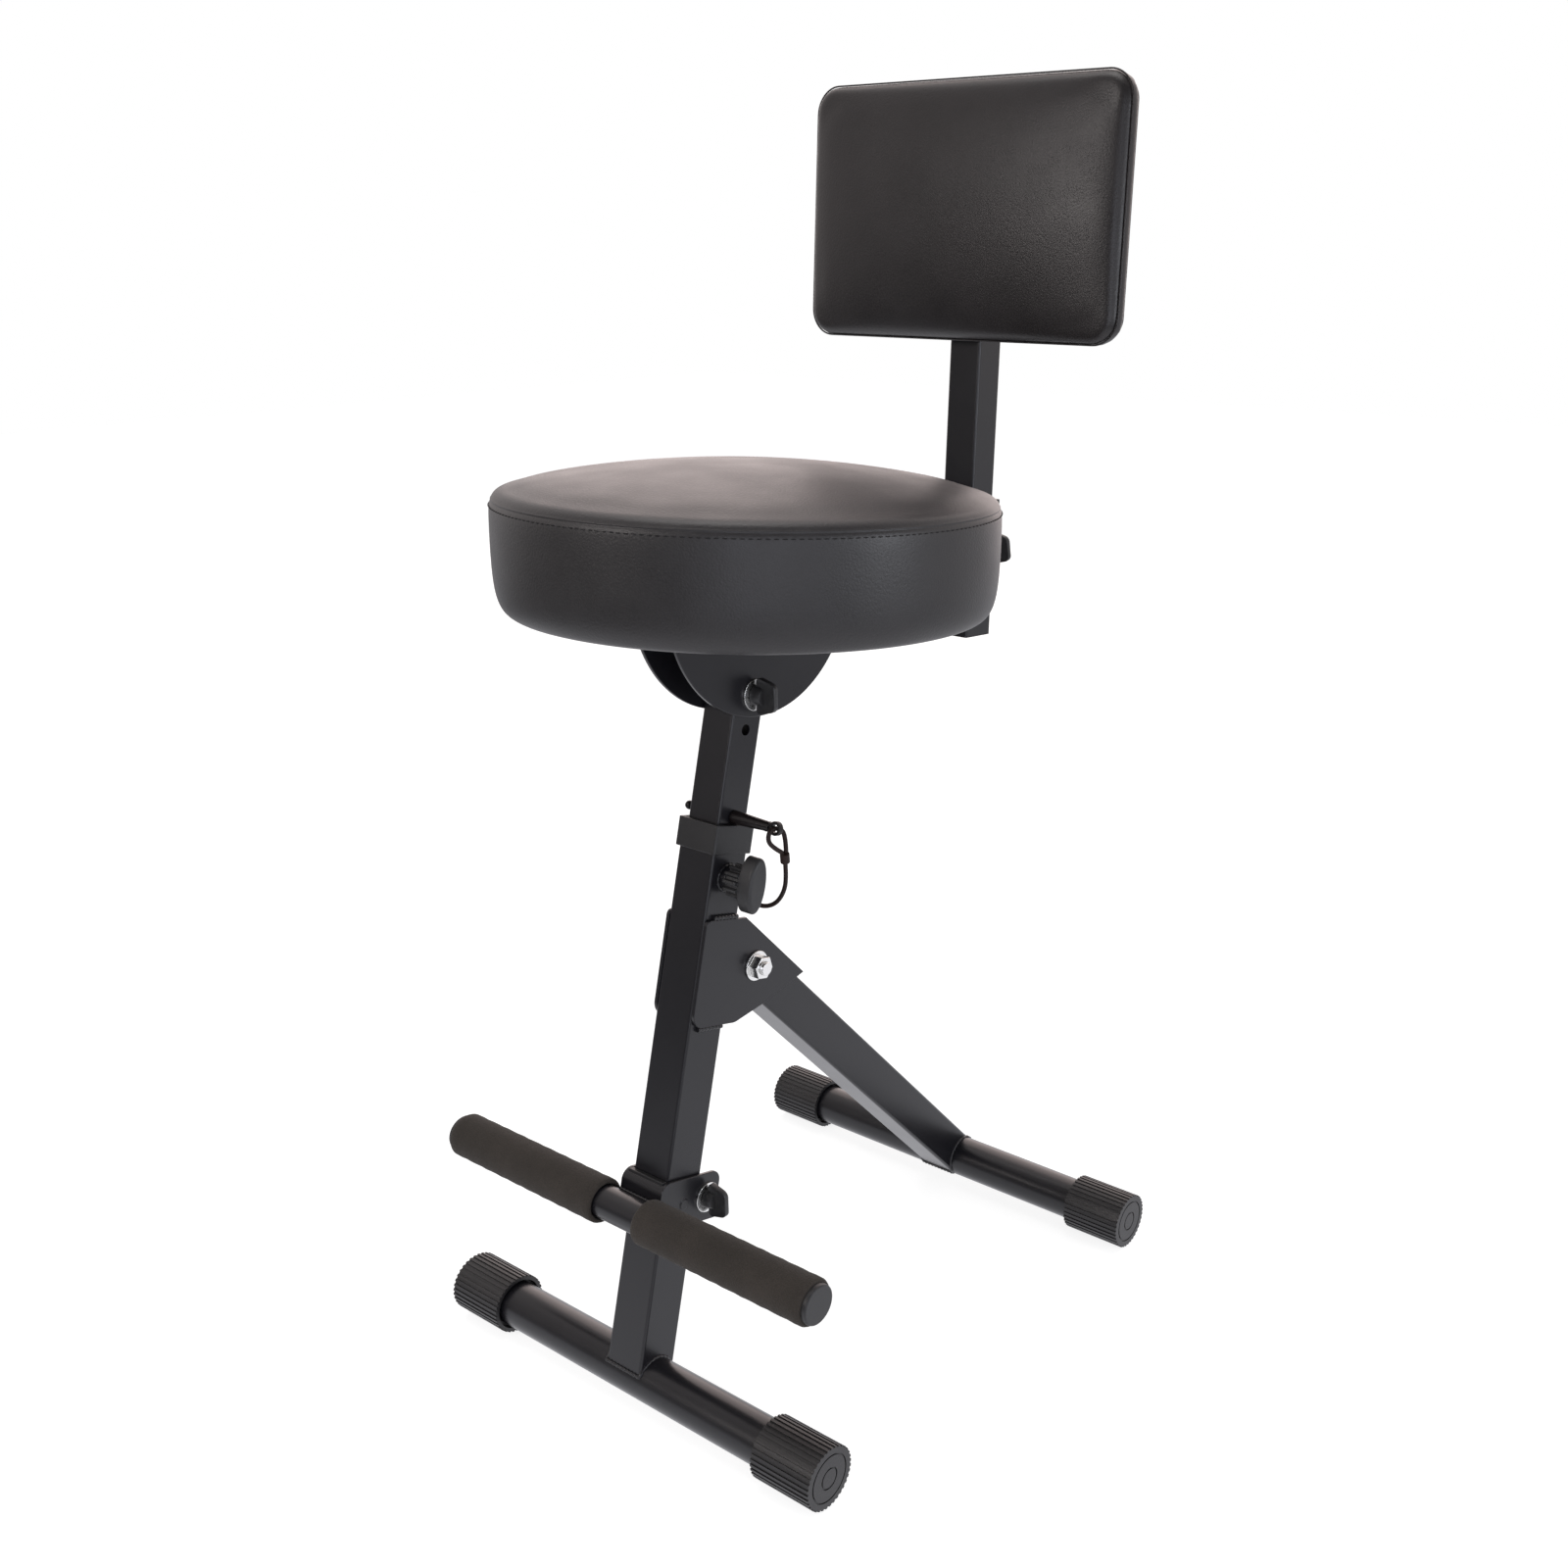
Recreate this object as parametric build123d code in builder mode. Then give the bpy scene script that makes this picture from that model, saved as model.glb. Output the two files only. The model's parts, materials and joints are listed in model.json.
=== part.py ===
from build123d import *
import math
import os

os.makedirs("parts", exist_ok=True)

# Foot bars, with the ribbed caps that the stool stands on
foot_tube_diameter = 35.0
foot_tube_wall = 1.8
front_tube_length = 370.0
rear_tube_length = 385.0
foot_spread = 390.0
cap_diameter = 46.2
cap_length = 53.0
cap_end_wall = 4.0
cap_rib_count = 36
cap_rib_height = 0.9
cap_rib_width = 2.0
cap_mouth_depth = 6.0
cap_mouth_wall = 2.4
cap_fit = 0.05
cap_ring_depth = 0.8
cap_ring_width = 1.2
cap_outer_ring_share = 0.75
cap_inner_ring_share = 0.33

# Main post: an outer tube welded to the front bar, and an inner tube that slides in it
post_tilt = 14.93
post_setback = 1.4
outer_width = 35.0
outer_wall = 1.8
tube_corner = 2.2
outer_top = 442.0
inner_width = 30.0
inner_wall = 1.5
inner_bottom = 252.0
inner_top = 561.0
guide_height = 24.0
plug_cap_height = 3.0
plug_depth = 14.0
slide_clearance = 0.1

# Plastic collars at the mouths of the two sockets
collar_height = 21.5
collar_wall = 2.2
collar_lip = 4.0
collar_fit = 0.05
collar_clearance = 0.15

# Pin holes and the locking pin
pin_radius = 4.0
pin_clearance = 0.08
pin_hole_pitch = 63.5
pin_sleeve_radius = 5.2
pin_sleeve_tip_radius = 3.6
pin_sleeve_length = 36.0
pin_tail = 14.0
pin_ball_radius = 3.4
pin_neck_radius = 2.4
eye_radius = 5.2
eye_hole_radius = 3.0
eye_thickness = 4.0
face_clearance = 0.3

# Height knob
knob_grip_half_length = 20.6
knob_grip_half_width = 9.0
knob_grip_depth = 12.1
knob_back_gap = 0.5
knob_hub_radius = 9.4
knob_hub_height = 12.2
knob_screw_bite = 9.0
knob_rib_reach = 12.4
knob_rib_width = 2.4
knob_rib_count = 12
knob_edge_radius = 2.8
screw_radius = 5.0
screw_clearance = 0.08
boss_radius = 9.0
boss_height = 6.0

# Hinge bracket of the rear leg
pivot_height_on_post = 338.6
pivot_depth = 41.6
pivot_radius = 5.0
pivot_clearance = 0.05
plate_thickness = 3.0
plate_top = 376.5
knob_above_plates = 30.5
knob_height_on_post = plate_top + knob_above_plates
plate_bottom = 296.0
plate_cover = 22.4
plate_reach_top = 54.6
plate_reach_bottom = 30.4
plate_low_depth = 27.7
plate_front_corner = 11.0
plate_rear_corner = 4.0
stop_thickness = 3.0
stop_start = 19.0
stop_length = 26.0
stop_clearance = 0.3
flange_radius = 11.5
flange_thickness = 2.0
hex_width = 16.0
hex_height = 7.0
bolt_end = 3.0
strut_side_clearance = 0.5
strut_wall = 1.8
strut_head = 16.0
bush_radius = 7.5

# Wing bolts: a zinc washer, a plastic hub with one wing, and a hex nut on the far side
wing_bolt_radius = 4.0
wing_bolt_clearance = 0.08
washer_radius = 11.5
washer_thickness = 1.6
wing_hub_radius = 7.5
wing_hub_height = 7.0
wing_height = 28.0
wing_tip_height = 19.0
wing_reach = 17.0
wing_thickness = 5.0
wing_corner = 4.0
wing_turn = 14.0
wing_root_share = 0.33
nut_width = 13.0
nut_height = 6.5

# Seat
bolt_height_on_post = 541.0
seat_tilt = 2.97
seat_setback = 15.4
seat_seam_height = 135.2
seat_girth_radius = 179.0
seat_seam_radius = 177.0
seat_rim_radius = 166.6
seat_band_height = 77.5
seat_bulge_low = 40.0
seat_bulge_high = 6.0
seat_band_out_share = 0.72
seat_band_down_share = 0.52
seat_shoulder_radius = 170.0
seat_shoulder_height = 9.0
seat_shoulder_in_share = 0.3
seat_shoulder_up_share = 0.68
seat_crown_height = 27.5
board_radius = 158.0
board_thickness = 12.0
board_inset = 0.3
board_fit = 0.3
yoke_thickness = 3.0
yoke_arc_radius = 94.4
yoke_arc_forward = 4.2
yoke_arc_drop = 57.9
yoke_base_width = 92.0
yoke_screw_x = 34.0
yoke_screw_v = 60.0
seat_screw_radius = 2.5
seat_screw_head_radius = 5.0
seat_screw_head_height = 2.6
seat_screw_length = 12.0

# Backrest arm and socket
arm_width = 25.0
arm_wall = 1.5
arm_start = -60.0
back_lean = 4.5
back_foot_y = 410.7
back_foot_z = 513.0
socket_wall = 2.0
socket_length = 110.0
socket_screw_height = 76.0
backrest_tube_bottom = 30.0
backrest_tube_top = 402.0

# Backrest
backrest_width = 301.0
backrest_height = 196.5
backrest_corner = 22.0
backrest_low = 240.3
backrest_board_thickness = 10.0
backrest_board_margin = 5.0
backrest_wrap = 8.0
backrest_band = 13.0
backrest_crown = 7.0
backrest_edge_round = 10.0
backrest_bolt_low = 285.0
backrest_bolt_high = 375.0
backrest_bolt_radius = 3.0
backrest_bolt_head_radius = 6.5
backrest_bolt_head_height = 3.2
backrest_bolt_bite = 8.0

# Footrest
footrest_height_on_post = 157.1
footrest_forward = 38.0
footrest_tube_diameter = 24.8
footrest_tube_wall = 1.5
footrest_tube_length = 362.0
sleeve_diameter = 33.8
sleeve_length = 159.6
sleeve_fit = 0.1
plug_diameter = 28.6
plug_head = 4.0
plug_round = 1.5
clamp_thickness = 3.0
clamp_height = 38.0
clamp_middle = 162.0
clamp_rear = 36.0
clamp_corner = 9.0
clamp_bolt_depth = 24.0
clamp_clearance = 0.3
rivet_radius = 4.0
rivet_height = 0.8

# Lanyard that ties the locking pin to the post
cord_diameter = 3.0
ferrule_diameter = 7.0
ferrule_length = 8.0
cord_bend_share = 0.45

# Shared small values
weld_gap = 0.05

# Derived places: the post, the leg, the seat and the backrest each have a plane of their own
cap_radius = cap_diameter / 2
foot_tube_radius = foot_tube_diameter / 2
outer_half = outer_width / 2
inner_half = inner_width / 2
tilt = math.radians(post_tilt)
lean = math.radians(back_lean)
slope = math.radians(seat_tilt)
rear_reach = back_foot_y + math.sin(lean) * (backrest_bolt_high + backrest_bolt_head_radius)
rear_reach += math.cos(lean) * (inner_half + backrest_bolt_head_height)
bolt_reach = post_setback - cap_radius * math.tan(tilt) + math.sin(tilt) * bolt_height_on_post
seat_reach = bolt_reach + math.cos(slope) * seat_setback + math.sin(slope) * seat_seam_height
front_reach = math.cos(slope) * seat_girth_radius + math.sin(slope) * seat_bulge_low - seat_reach
front_y = (front_reach - rear_reach) / 2
rear_y = front_y + foot_spread
X = (1, 0, 0)

post_plane = Plane(
    origin=(0, front_y + post_setback - cap_radius * math.tan(tilt), 0),
    x_dir=X,
    z_dir=(0, math.sin(tilt), math.cos(tilt)),
)


def post_side(x, depth=0.0, height=0.0):
    """Plane square to X, with its origin on the post: local x points rearwards, local y up the post."""
    return Plane(origin=post_plane.from_local_coords((x, depth, height)), x_dir=post_plane.y_dir, z_dir=X)


pivot = post_plane.from_local_coords((0, pivot_depth, pivot_height_on_post))
rear_axis = Vector(0, rear_y, cap_radius)
leg_length = (rear_axis - pivot).length
strut_plane = Plane(origin=pivot, x_dir=X, z_dir=rear_axis - pivot)

yoke_pivot = post_plane.from_local_coords((0, 0, bolt_height_on_post))
seat_normal = Vector(0, math.sin(slope), math.cos(slope))
seat_rearward = Vector(0, math.cos(slope), -math.sin(slope))
seat_plane = Plane(
    origin=yoke_pivot + seat_rearward * seat_setback + seat_normal * seat_seam_height,
    x_dir=X,
    z_dir=seat_normal,
)
back_plane = Plane(
    origin=(0, front_y + back_foot_y, back_foot_z),
    x_dir=X,
    z_dir=(0, math.sin(lean), math.cos(lean)),
)


def seat_side(x):
    """Plane square to X in the seat's frame: local x points rearwards, local y along the seat's normal."""
    return Plane(origin=seat_plane.from_local_coords((x, 0, 0)), x_dir=seat_plane.y_dir, z_dir=X)


def square_ring(width, wall):
    """Adds the section of a square tube with rounded corners to the open sketch."""
    RectangleRounded(width, width, tube_corner)
    RectangleRounded(width - 2 * wall, width - 2 * wall, tube_corner - wall, mode=Mode.SUBTRACT)


def bar_plane(x, y):
    """Plane square to a foot bar at x, with its origin on the bar's axis."""
    return Plane(origin=(x, y, cap_radius), x_dir=(0, 1, 0), z_dir=X)


def finish(part, name):
    """Labels a finished piece and writes it."""
    part.label = name
    export_step(part, "parts/" + name + ".step")


# Foot bars: round tubes along X
def make_foot_bar(length, y, name):
    with BuildPart() as foot_bar:
        with BuildSketch(bar_plane(-length / 2, y)):
            Circle(foot_tube_radius)
            Circle(foot_tube_radius - foot_tube_wall, mode=Mode.SUBTRACT)
        extrude(amount=length)
    finish(foot_bar.part, name)


make_foot_bar(front_tube_length, front_y, "front_foot_bar")
make_foot_bar(rear_tube_length, rear_y, "rear_foot_bar")


# Foot caps: ribbed rubber cups pushed over each end of a bar
def make_foot_caps(length, y, name):
    with BuildPart() as foot_caps:
        for side in (-1, 1):
            end_x = side * (length / 2 + cap_end_wall)
            outward = Plane(origin=(end_x, y, cap_radius), x_dir=(0, 1, 0), z_dir=(side, 0, 0))
            inner_end = outward.offset(-cap_length)
            with BuildSketch(inner_end):
                Circle(cap_radius - cap_rib_height)
                with PolarLocations(cap_radius - cap_rib_height - cap_rib_width / 2, cap_rib_count):
                    Rectangle(cap_rib_width + 2 * cap_rib_height, cap_rib_width)
            extrude(amount=cap_length)
            with BuildSketch(outward):
                Circle(cap_radius * cap_outer_ring_share + cap_ring_width / 2)
                Circle(cap_radius * cap_outer_ring_share - cap_ring_width / 2, mode=Mode.SUBTRACT)
                Circle(cap_radius * cap_inner_ring_share + cap_ring_width / 2)
                Circle(cap_radius * cap_inner_ring_share - cap_ring_width / 2, mode=Mode.SUBTRACT)
            extrude(amount=-cap_ring_depth, mode=Mode.SUBTRACT)
            with BuildSketch(inner_end):
                Circle(foot_tube_radius + cap_fit)
            extrude(amount=cap_length - cap_end_wall, mode=Mode.SUBTRACT)
            with BuildSketch(inner_end):
                Circle(cap_radius - cap_rib_height - cap_mouth_wall)
            extrude(amount=cap_mouth_depth, mode=Mode.SUBTRACT)
    finish(foot_caps.part, name)


make_foot_caps(front_tube_length, front_y, "front_foot_caps")
make_foot_caps(rear_tube_length, rear_y, "rear_foot_caps")

# Outer post: its foot is shaped to sit on the front bar, and one side has the knob screw's hole
with BuildPart() as outer_post:
    with BuildSketch(post_plane):
        square_ring(outer_width, outer_wall)
    extrude(amount=outer_top)
    with BuildSketch(bar_plane(-outer_width, front_y)):
        Circle(foot_tube_radius + weld_gap)
    extrude(amount=2 * outer_width, mode=Mode.SUBTRACT)
    with BuildSketch(Plane((0, front_y, 0))):
        Rectangle(2 * cap_diameter, 2 * cap_diameter)
    extrude(amount=cap_radius, both=True, mode=Mode.SUBTRACT)
    with BuildSketch(post_side(0)):
        with Locations((0, knob_height_on_post)):
            Circle(screw_radius + screw_clearance)
    extrude(amount=outer_width, mode=Mode.SUBTRACT)
finish(outer_post.part, "outer_post")


# Socket collars: a plastic sleeve over a tube's end, with a lip that guides the inner tube
def make_collar(plane, tube_end, tube_width, name):
    with BuildPart() as collar:
        with BuildSketch(plane.offset(tube_end + collar_lip - collar_height)):
            outside = tube_width + 2 * (collar_fit + collar_wall)
            RectangleRounded(outside, outside, tube_corner)
            inside = inner_width + 2 * collar_clearance
            RectangleRounded(inside, inside, tube_corner, mode=Mode.SUBTRACT)
        extrude(amount=collar_height)
        with BuildSketch(plane.offset(tube_end + collar_lip - collar_height)):
            skirt = tube_width + 2 * collar_fit
            RectangleRounded(skirt, skirt, tube_corner)
        extrude(amount=collar_height - collar_lip, mode=Mode.SUBTRACT)
    finish(collar.part, name)


make_collar(post_plane, outer_top, outer_width, "post_collar")

# Knob boss: a threaded boss welded to the post's side
with BuildPart() as knob_boss:
    with BuildSketch(post_side(outer_half, 0, knob_height_on_post)):
        Circle(boss_radius)
        Circle(screw_radius + screw_clearance, mode=Mode.SUBTRACT)
    extrude(amount=boss_height)
finish(knob_boss.part, "knob_boss")

# Height knob: a ribbed hub with an oval grip across it
knob_back_x = outer_half + boss_height + knob_back_gap
knob_plane = post_side(knob_back_x, 0, knob_height_on_post)
with BuildPart() as height_knob:
    with BuildSketch(knob_plane):
        Circle(knob_hub_radius)
        with PolarLocations(knob_rib_reach / 2, knob_rib_count):
            Rectangle(knob_rib_reach, knob_rib_width)
    extrude(amount=knob_hub_height)
    with BuildSketch(knob_plane.offset(knob_hub_height)):
        Ellipse(knob_grip_half_width, knob_grip_half_length)
    extrude(amount=knob_grip_depth)
    fillet(height_knob.edges().group_by(Axis.X)[-1], knob_edge_radius)
    with BuildSketch(knob_plane):
        Circle(screw_radius)
    extrude(amount=knob_screw_bite, mode=Mode.SUBTRACT)
finish(height_knob.part, "height_knob")

# Knob screw: its tip presses on the inner tube
with BuildPart() as knob_screw:
    with BuildSketch(post_side(inner_half + face_clearance, 0, knob_height_on_post)):
        Circle(screw_radius)
    extrude(amount=knob_back_x + knob_screw_bite - inner_half - face_clearance)
finish(knob_screw.part, "knob_screw")


# Hinge bracket: two plates welded to the sides of the post, with a stop between them
def strut_point(along, above):
    """Place in the post's side plane of a point given along the strut and above its centre line."""
    local = strut_plane.from_local_coords((0, -above, along))
    depth_and_height = post_plane.to_local_coords(local)
    return (depth_and_height.Y, depth_and_height.Z)


def plate_top_depth():
    """Depth behind the post's axis where the edge over the strut meets the plate's top."""
    near = strut_point(0, plate_cover)
    far = strut_point(plate_reach_top, plate_cover)
    share = (plate_top - near[1]) / (far[1] - near[1])
    return near[0] + share * (far[0] - near[0])


with BuildPart() as bracket_plates:
    for inner_x in (-outer_half - plate_thickness, outer_half):
        with BuildSketch(post_side(inner_x)) as plate_sketch:
            with BuildLine():
                Polyline(
                    (-outer_half, plate_bottom),
                    (-outer_half, plate_top),
                    (plate_top_depth(), plate_top),
                    strut_point(plate_reach_top, plate_cover),
                    strut_point(plate_reach_bottom, -outer_half),
                    (plate_low_depth, plate_bottom),
                    close=True,
                )
            make_face()
            corners = plate_sketch.vertices().sort_by(Axis.Y)
            fillet(corners[0:2], plate_front_corner)
            fillet(plate_sketch.vertices().sort_by(Axis.Y)[-1], plate_rear_corner)
            with Locations((pivot_depth, pivot_height_on_post)):
                Circle(pivot_radius + pivot_clearance, mode=Mode.SUBTRACT)
        extrude(amount=plate_thickness)
finish(bracket_plates.part, "bracket_plates")

strut_width = outer_width - 2 * strut_side_clearance
strut_half = outer_half
with BuildPart() as bracket_stop:
    with BuildSketch(strut_plane.offset(stop_start)):
        with Locations((0, -strut_half - stop_clearance - stop_thickness / 2)):
            Rectangle(outer_width, stop_thickness)
    extrude(amount=stop_length)
finish(bracket_stop.part, "bracket_stop")

# Pivot bolt: flanged head on the far side, and a shank that passes both plates
plate_outer = outer_half + plate_thickness
with BuildPart() as pivot_bolt:
    with BuildSketch(post_side(-plate_outer, pivot_depth, pivot_height_on_post)):
        Circle(flange_radius)
    extrude(amount=-flange_thickness)
    with BuildSketch(post_side(-plate_outer - flange_thickness, pivot_depth, pivot_height_on_post)):
        RegularPolygon(hex_width / 2, 6, major_radius=False)
    extrude(amount=-hex_height)
    with BuildSketch(post_side(-plate_outer, pivot_depth, pivot_height_on_post)):
        Circle(pivot_radius)
    extrude(amount=2 * plate_outer + flange_thickness + hex_height + bolt_end)
finish(pivot_bolt.part, "pivot_bolt")

# Pivot nut: a flange nut on the near side
with BuildPart() as pivot_nut:
    with BuildSketch(post_side(plate_outer, pivot_depth, pivot_height_on_post)):
        Circle(flange_radius)
    extrude(amount=flange_thickness)
    with BuildSketch(post_side(plate_outer + flange_thickness, pivot_depth, pivot_height_on_post)):
        RegularPolygon(hex_width / 2, 6, major_radius=False)
    extrude(amount=hex_height)
    with BuildSketch(post_side(plate_outer, pivot_depth, pivot_height_on_post)):
        Circle(pivot_radius + pivot_clearance)
    extrude(amount=flange_thickness + hex_height, mode=Mode.SUBTRACT)
finish(pivot_nut.part, "pivot_nut")

# Rear strut: a square tube from the pivot to the rear bar
with BuildPart() as rear_strut:
    with BuildSketch(strut_plane.offset(-strut_head)):
        RectangleRounded(strut_width, outer_width, tube_corner)
        RectangleRounded(
            strut_width - 2 * strut_wall,
            outer_width - 2 * strut_wall,
            tube_corner - strut_wall,
            mode=Mode.SUBTRACT,
        )
    extrude(amount=leg_length + strut_head)
    with BuildSketch(bar_plane(-outer_width, rear_y)):
        Circle(foot_tube_radius + weld_gap)
    extrude(amount=2 * outer_width, mode=Mode.SUBTRACT)
    with BuildSketch(post_side(-outer_width, pivot_depth, pivot_height_on_post)):
        Circle(bush_radius)
    extrude(amount=2 * outer_width, mode=Mode.SUBTRACT)
strut_body = rear_strut.part.solids().sort_by(SortBy.VOLUME)[-1]
finish(Part() + strut_body, "rear_strut")

# Hinge bush: a steel sleeve through the strut's head
with BuildPart() as hinge_bush:
    with BuildSketch(post_side(-strut_width / 2, pivot_depth, pivot_height_on_post)):
        Circle(bush_radius)
        Circle(pivot_radius + pivot_clearance, mode=Mode.SUBTRACT)
    extrude(amount=strut_width)
finish(hinge_bush.part, "hinge_bush")

# Inner post: a square tube with a row of pin holes through its sides
pin_height = outer_top + collar_lip + pin_sleeve_radius + slide_clearance
with BuildPart() as inner_post:
    with BuildSketch(post_plane.offset(inner_bottom)):
        square_ring(inner_width, inner_wall)
    extrude(amount=inner_top - inner_bottom)
    with BuildSketch(post_side(-inner_width)):
        with Locations(*[(0, pin_height + step * pin_hole_pitch) for step in (-2, -1, 0, 1)]):
            Circle(pin_radius + pin_clearance)
        with Locations((0, bolt_height_on_post)):
            Circle(wing_bolt_radius + wing_bolt_clearance)
    extrude(amount=2 * inner_width, mode=Mode.SUBTRACT)
finish(inner_post.part, "inner_post")


# Tube plugs: a head outside the tube and a stem that fills its end
def make_plug(plane, head_width, head_height, stem_sign, name):
    with BuildPart() as plug:
        with BuildSketch(plane):
            RectangleRounded(head_width, head_width, tube_corner)
        extrude(amount=-stem_sign * head_height)
        with BuildSketch(plane):
            stem = inner_width - 2 * (inner_wall + slide_clearance)
            RectangleRounded(stem, stem, tube_corner - inner_wall)
        extrude(amount=stem_sign * plug_depth)
    finish(plug.part, name)


guide_width = outer_width - 2 * (outer_wall + slide_clearance)
make_plug(post_plane.offset(inner_bottom), guide_width, guide_height, 1, "inner_post_guide")
make_plug(post_plane.offset(inner_top), inner_width, plug_cap_height, -1, "inner_post_cap")

# Locking pin: a rod with a ball tip, a sleeve outside the tube, and an eye for the lanyard
sleeve_x = inner_half + face_clearance
eye_x = sleeve_x + pin_sleeve_length + eye_radius
with BuildPart() as locking_pin:
    with BuildSketch(post_side(-inner_half - pin_tail, 0, pin_height)):
        Circle(pin_neck_radius)
    extrude(amount=pin_tail)
    with BuildSketch(post_side(-inner_half - face_clearance - pin_radius, 0, pin_height)):
        Circle(pin_radius)
    extrude(amount=inner_half + face_clearance + pin_radius + sleeve_x)
    with BuildSketch(post_side(sleeve_x, 0, pin_height)):
        Circle(pin_sleeve_radius)
    with BuildSketch(post_side(sleeve_x + pin_sleeve_length, 0, pin_height)):
        Circle(pin_sleeve_tip_radius)
    loft()
    with Locations(post_side(-inner_half - pin_tail, 0, pin_height).origin):
        Sphere(pin_ball_radius)
    eye_origin = post_plane.from_local_coords((eye_x, -eye_thickness / 2, pin_height))
    with BuildSketch(Plane(origin=eye_origin, x_dir=X, z_dir=post_plane.y_dir)):
        Circle(eye_radius)
        with Locations((-eye_radius, 0)):
            Rectangle(eye_radius, 2 * pin_sleeve_tip_radius)
        Circle(eye_hole_radius, mode=Mode.SUBTRACT)
    extrude(amount=eye_thickness)
finish(locking_pin.part, "locking_pin")


# Wing bolts: one set each for the seat, the backrest and the footrest
def make_wing_bolt(plane, shank_length, name):
    """Bolt along the plane's normal: the plane lies under the washer, and the shank runs back from it."""
    head_plane = plane.offset(washer_thickness)
    with BuildPart() as wing_bolt:
        with BuildSketch(plane.offset(-shank_length)):
            Circle(wing_bolt_radius)
        extrude(amount=shank_length + washer_thickness)
        with BuildSketch(head_plane):
            Circle(wing_hub_radius)
        extrude(amount=wing_hub_height)
        turned = Plane(origin=head_plane.origin, x_dir=head_plane.x_dir, z_dir=head_plane.z_dir)
        turned = turned.rotated((0, 0, wing_turn))
        root = wing_hub_height * wing_root_share
        blade = Plane(origin=turned.origin, x_dir=turned.y_dir, z_dir=turned.x_dir).offset(-wing_thickness / 2)
        with BuildSketch(blade) as blade_sketch:
            with BuildLine():
                Polyline(
                    (-wing_height / 2, root),
                    (-wing_tip_height / 2, root + wing_reach),
                    (wing_tip_height / 2, root + wing_reach),
                    (wing_height / 2, root),
                    close=True,
                )
            make_face()
            fillet(blade_sketch.vertices(), wing_corner)
        extrude(amount=wing_thickness)
    finish(wing_bolt.part, name)


def make_washer(plane, name):
    with BuildPart() as washer:
        with BuildSketch(plane):
            Circle(washer_radius)
            Circle(wing_bolt_radius + wing_bolt_clearance, mode=Mode.SUBTRACT)
        extrude(amount=washer_thickness)
    finish(washer.part, name)


def make_nut(plane, name):
    with BuildPart() as nut:
        with BuildSketch(plane):
            RegularPolygon(nut_width / 2, 6, major_radius=False)
            Circle(wing_bolt_radius + wing_bolt_clearance, mode=Mode.SUBTRACT)
        extrude(amount=-nut_height)
    finish(nut.part, name)


# Seat yoke: a folded plate under the seat, with two half-round cheeks beside the inner post
cheek_inner = inner_half + face_clearance
cheek_outer = cheek_inner + yoke_thickness
board_bottom = -seat_band_height + board_inset
yoke_base_bottom = board_bottom - yoke_thickness
cheek_chord = math.sqrt(yoke_arc_radius**2 - (yoke_base_bottom + yoke_arc_drop) ** 2)
with BuildPart() as seat_yoke:
    with BuildSketch(seat_plane.offset(yoke_base_bottom)):
        with Locations((0, -yoke_arc_forward)):
            Rectangle(yoke_base_width, 2 * cheek_chord)
    extrude(amount=yoke_thickness)
    for start_x in (-cheek_outer, cheek_inner):
        with BuildSketch(seat_side(start_x)):
            with Locations((-yoke_arc_forward, -yoke_arc_drop)):
                Circle(yoke_arc_radius)
            with Locations((-yoke_arc_forward, yoke_base_bottom + yoke_arc_radius)):
                Rectangle(2 * yoke_arc_radius, 2 * yoke_arc_radius, mode=Mode.SUBTRACT)
            with Locations((-seat_setback, -seat_seam_height)):
                Circle(wing_bolt_radius + wing_bolt_clearance, mode=Mode.SUBTRACT)
        extrude(amount=yoke_thickness)
    with BuildSketch(seat_plane.offset(yoke_base_bottom)):
        with Locations((0, -yoke_arc_forward)):
            with GridLocations(2 * yoke_screw_x, 2 * yoke_screw_v, 2, 2):
                Circle(seat_screw_radius)
    extrude(amount=yoke_thickness, mode=Mode.SUBTRACT)
finish(seat_yoke.part, "seat_yoke")

seat_bolt_plane = post_side(cheek_outer, 0, bolt_height_on_post)
make_wing_bolt(seat_bolt_plane, 2 * cheek_outer + nut_height, "seat_wing_bolt")
make_washer(seat_bolt_plane, "seat_bolt_washer")
make_nut(seat_bolt_plane.offset(-2 * cheek_outer), "seat_bolt_nut")

# Seat board: a plywood disc let into the underside of the cushion
with BuildPart() as seat_board:
    with BuildSketch(seat_plane.offset(board_bottom)):
        Circle(board_radius)
    extrude(amount=board_thickness)
    with BuildSketch(seat_plane.offset(board_bottom)):
        with Locations((0, -yoke_arc_forward)):
            with GridLocations(2 * yoke_screw_x, 2 * yoke_screw_v, 2, 2):
                Circle(seat_screw_radius)
    extrude(amount=seat_screw_length - yoke_thickness, mode=Mode.SUBTRACT)
finish(seat_board.part, "seat_board")

# Seat screws: pan heads under the yoke, with shanks in the board
with BuildPart() as seat_screws:
    with BuildSketch(seat_plane.offset(yoke_base_bottom)):
        with Locations((0, -yoke_arc_forward)):
            with GridLocations(2 * yoke_screw_x, 2 * yoke_screw_v, 2, 2):
                Circle(seat_screw_radius)
    extrude(amount=seat_screw_length)
    with BuildSketch(seat_plane.offset(yoke_base_bottom)):
        with Locations((0, -yoke_arc_forward)):
            with GridLocations(2 * yoke_screw_x, 2 * yoke_screw_v, 2, 2):
                Circle(seat_screw_head_radius)
    extrude(amount=-seat_screw_head_height)
finish(seat_screws.part, "seat_screws")

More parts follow.
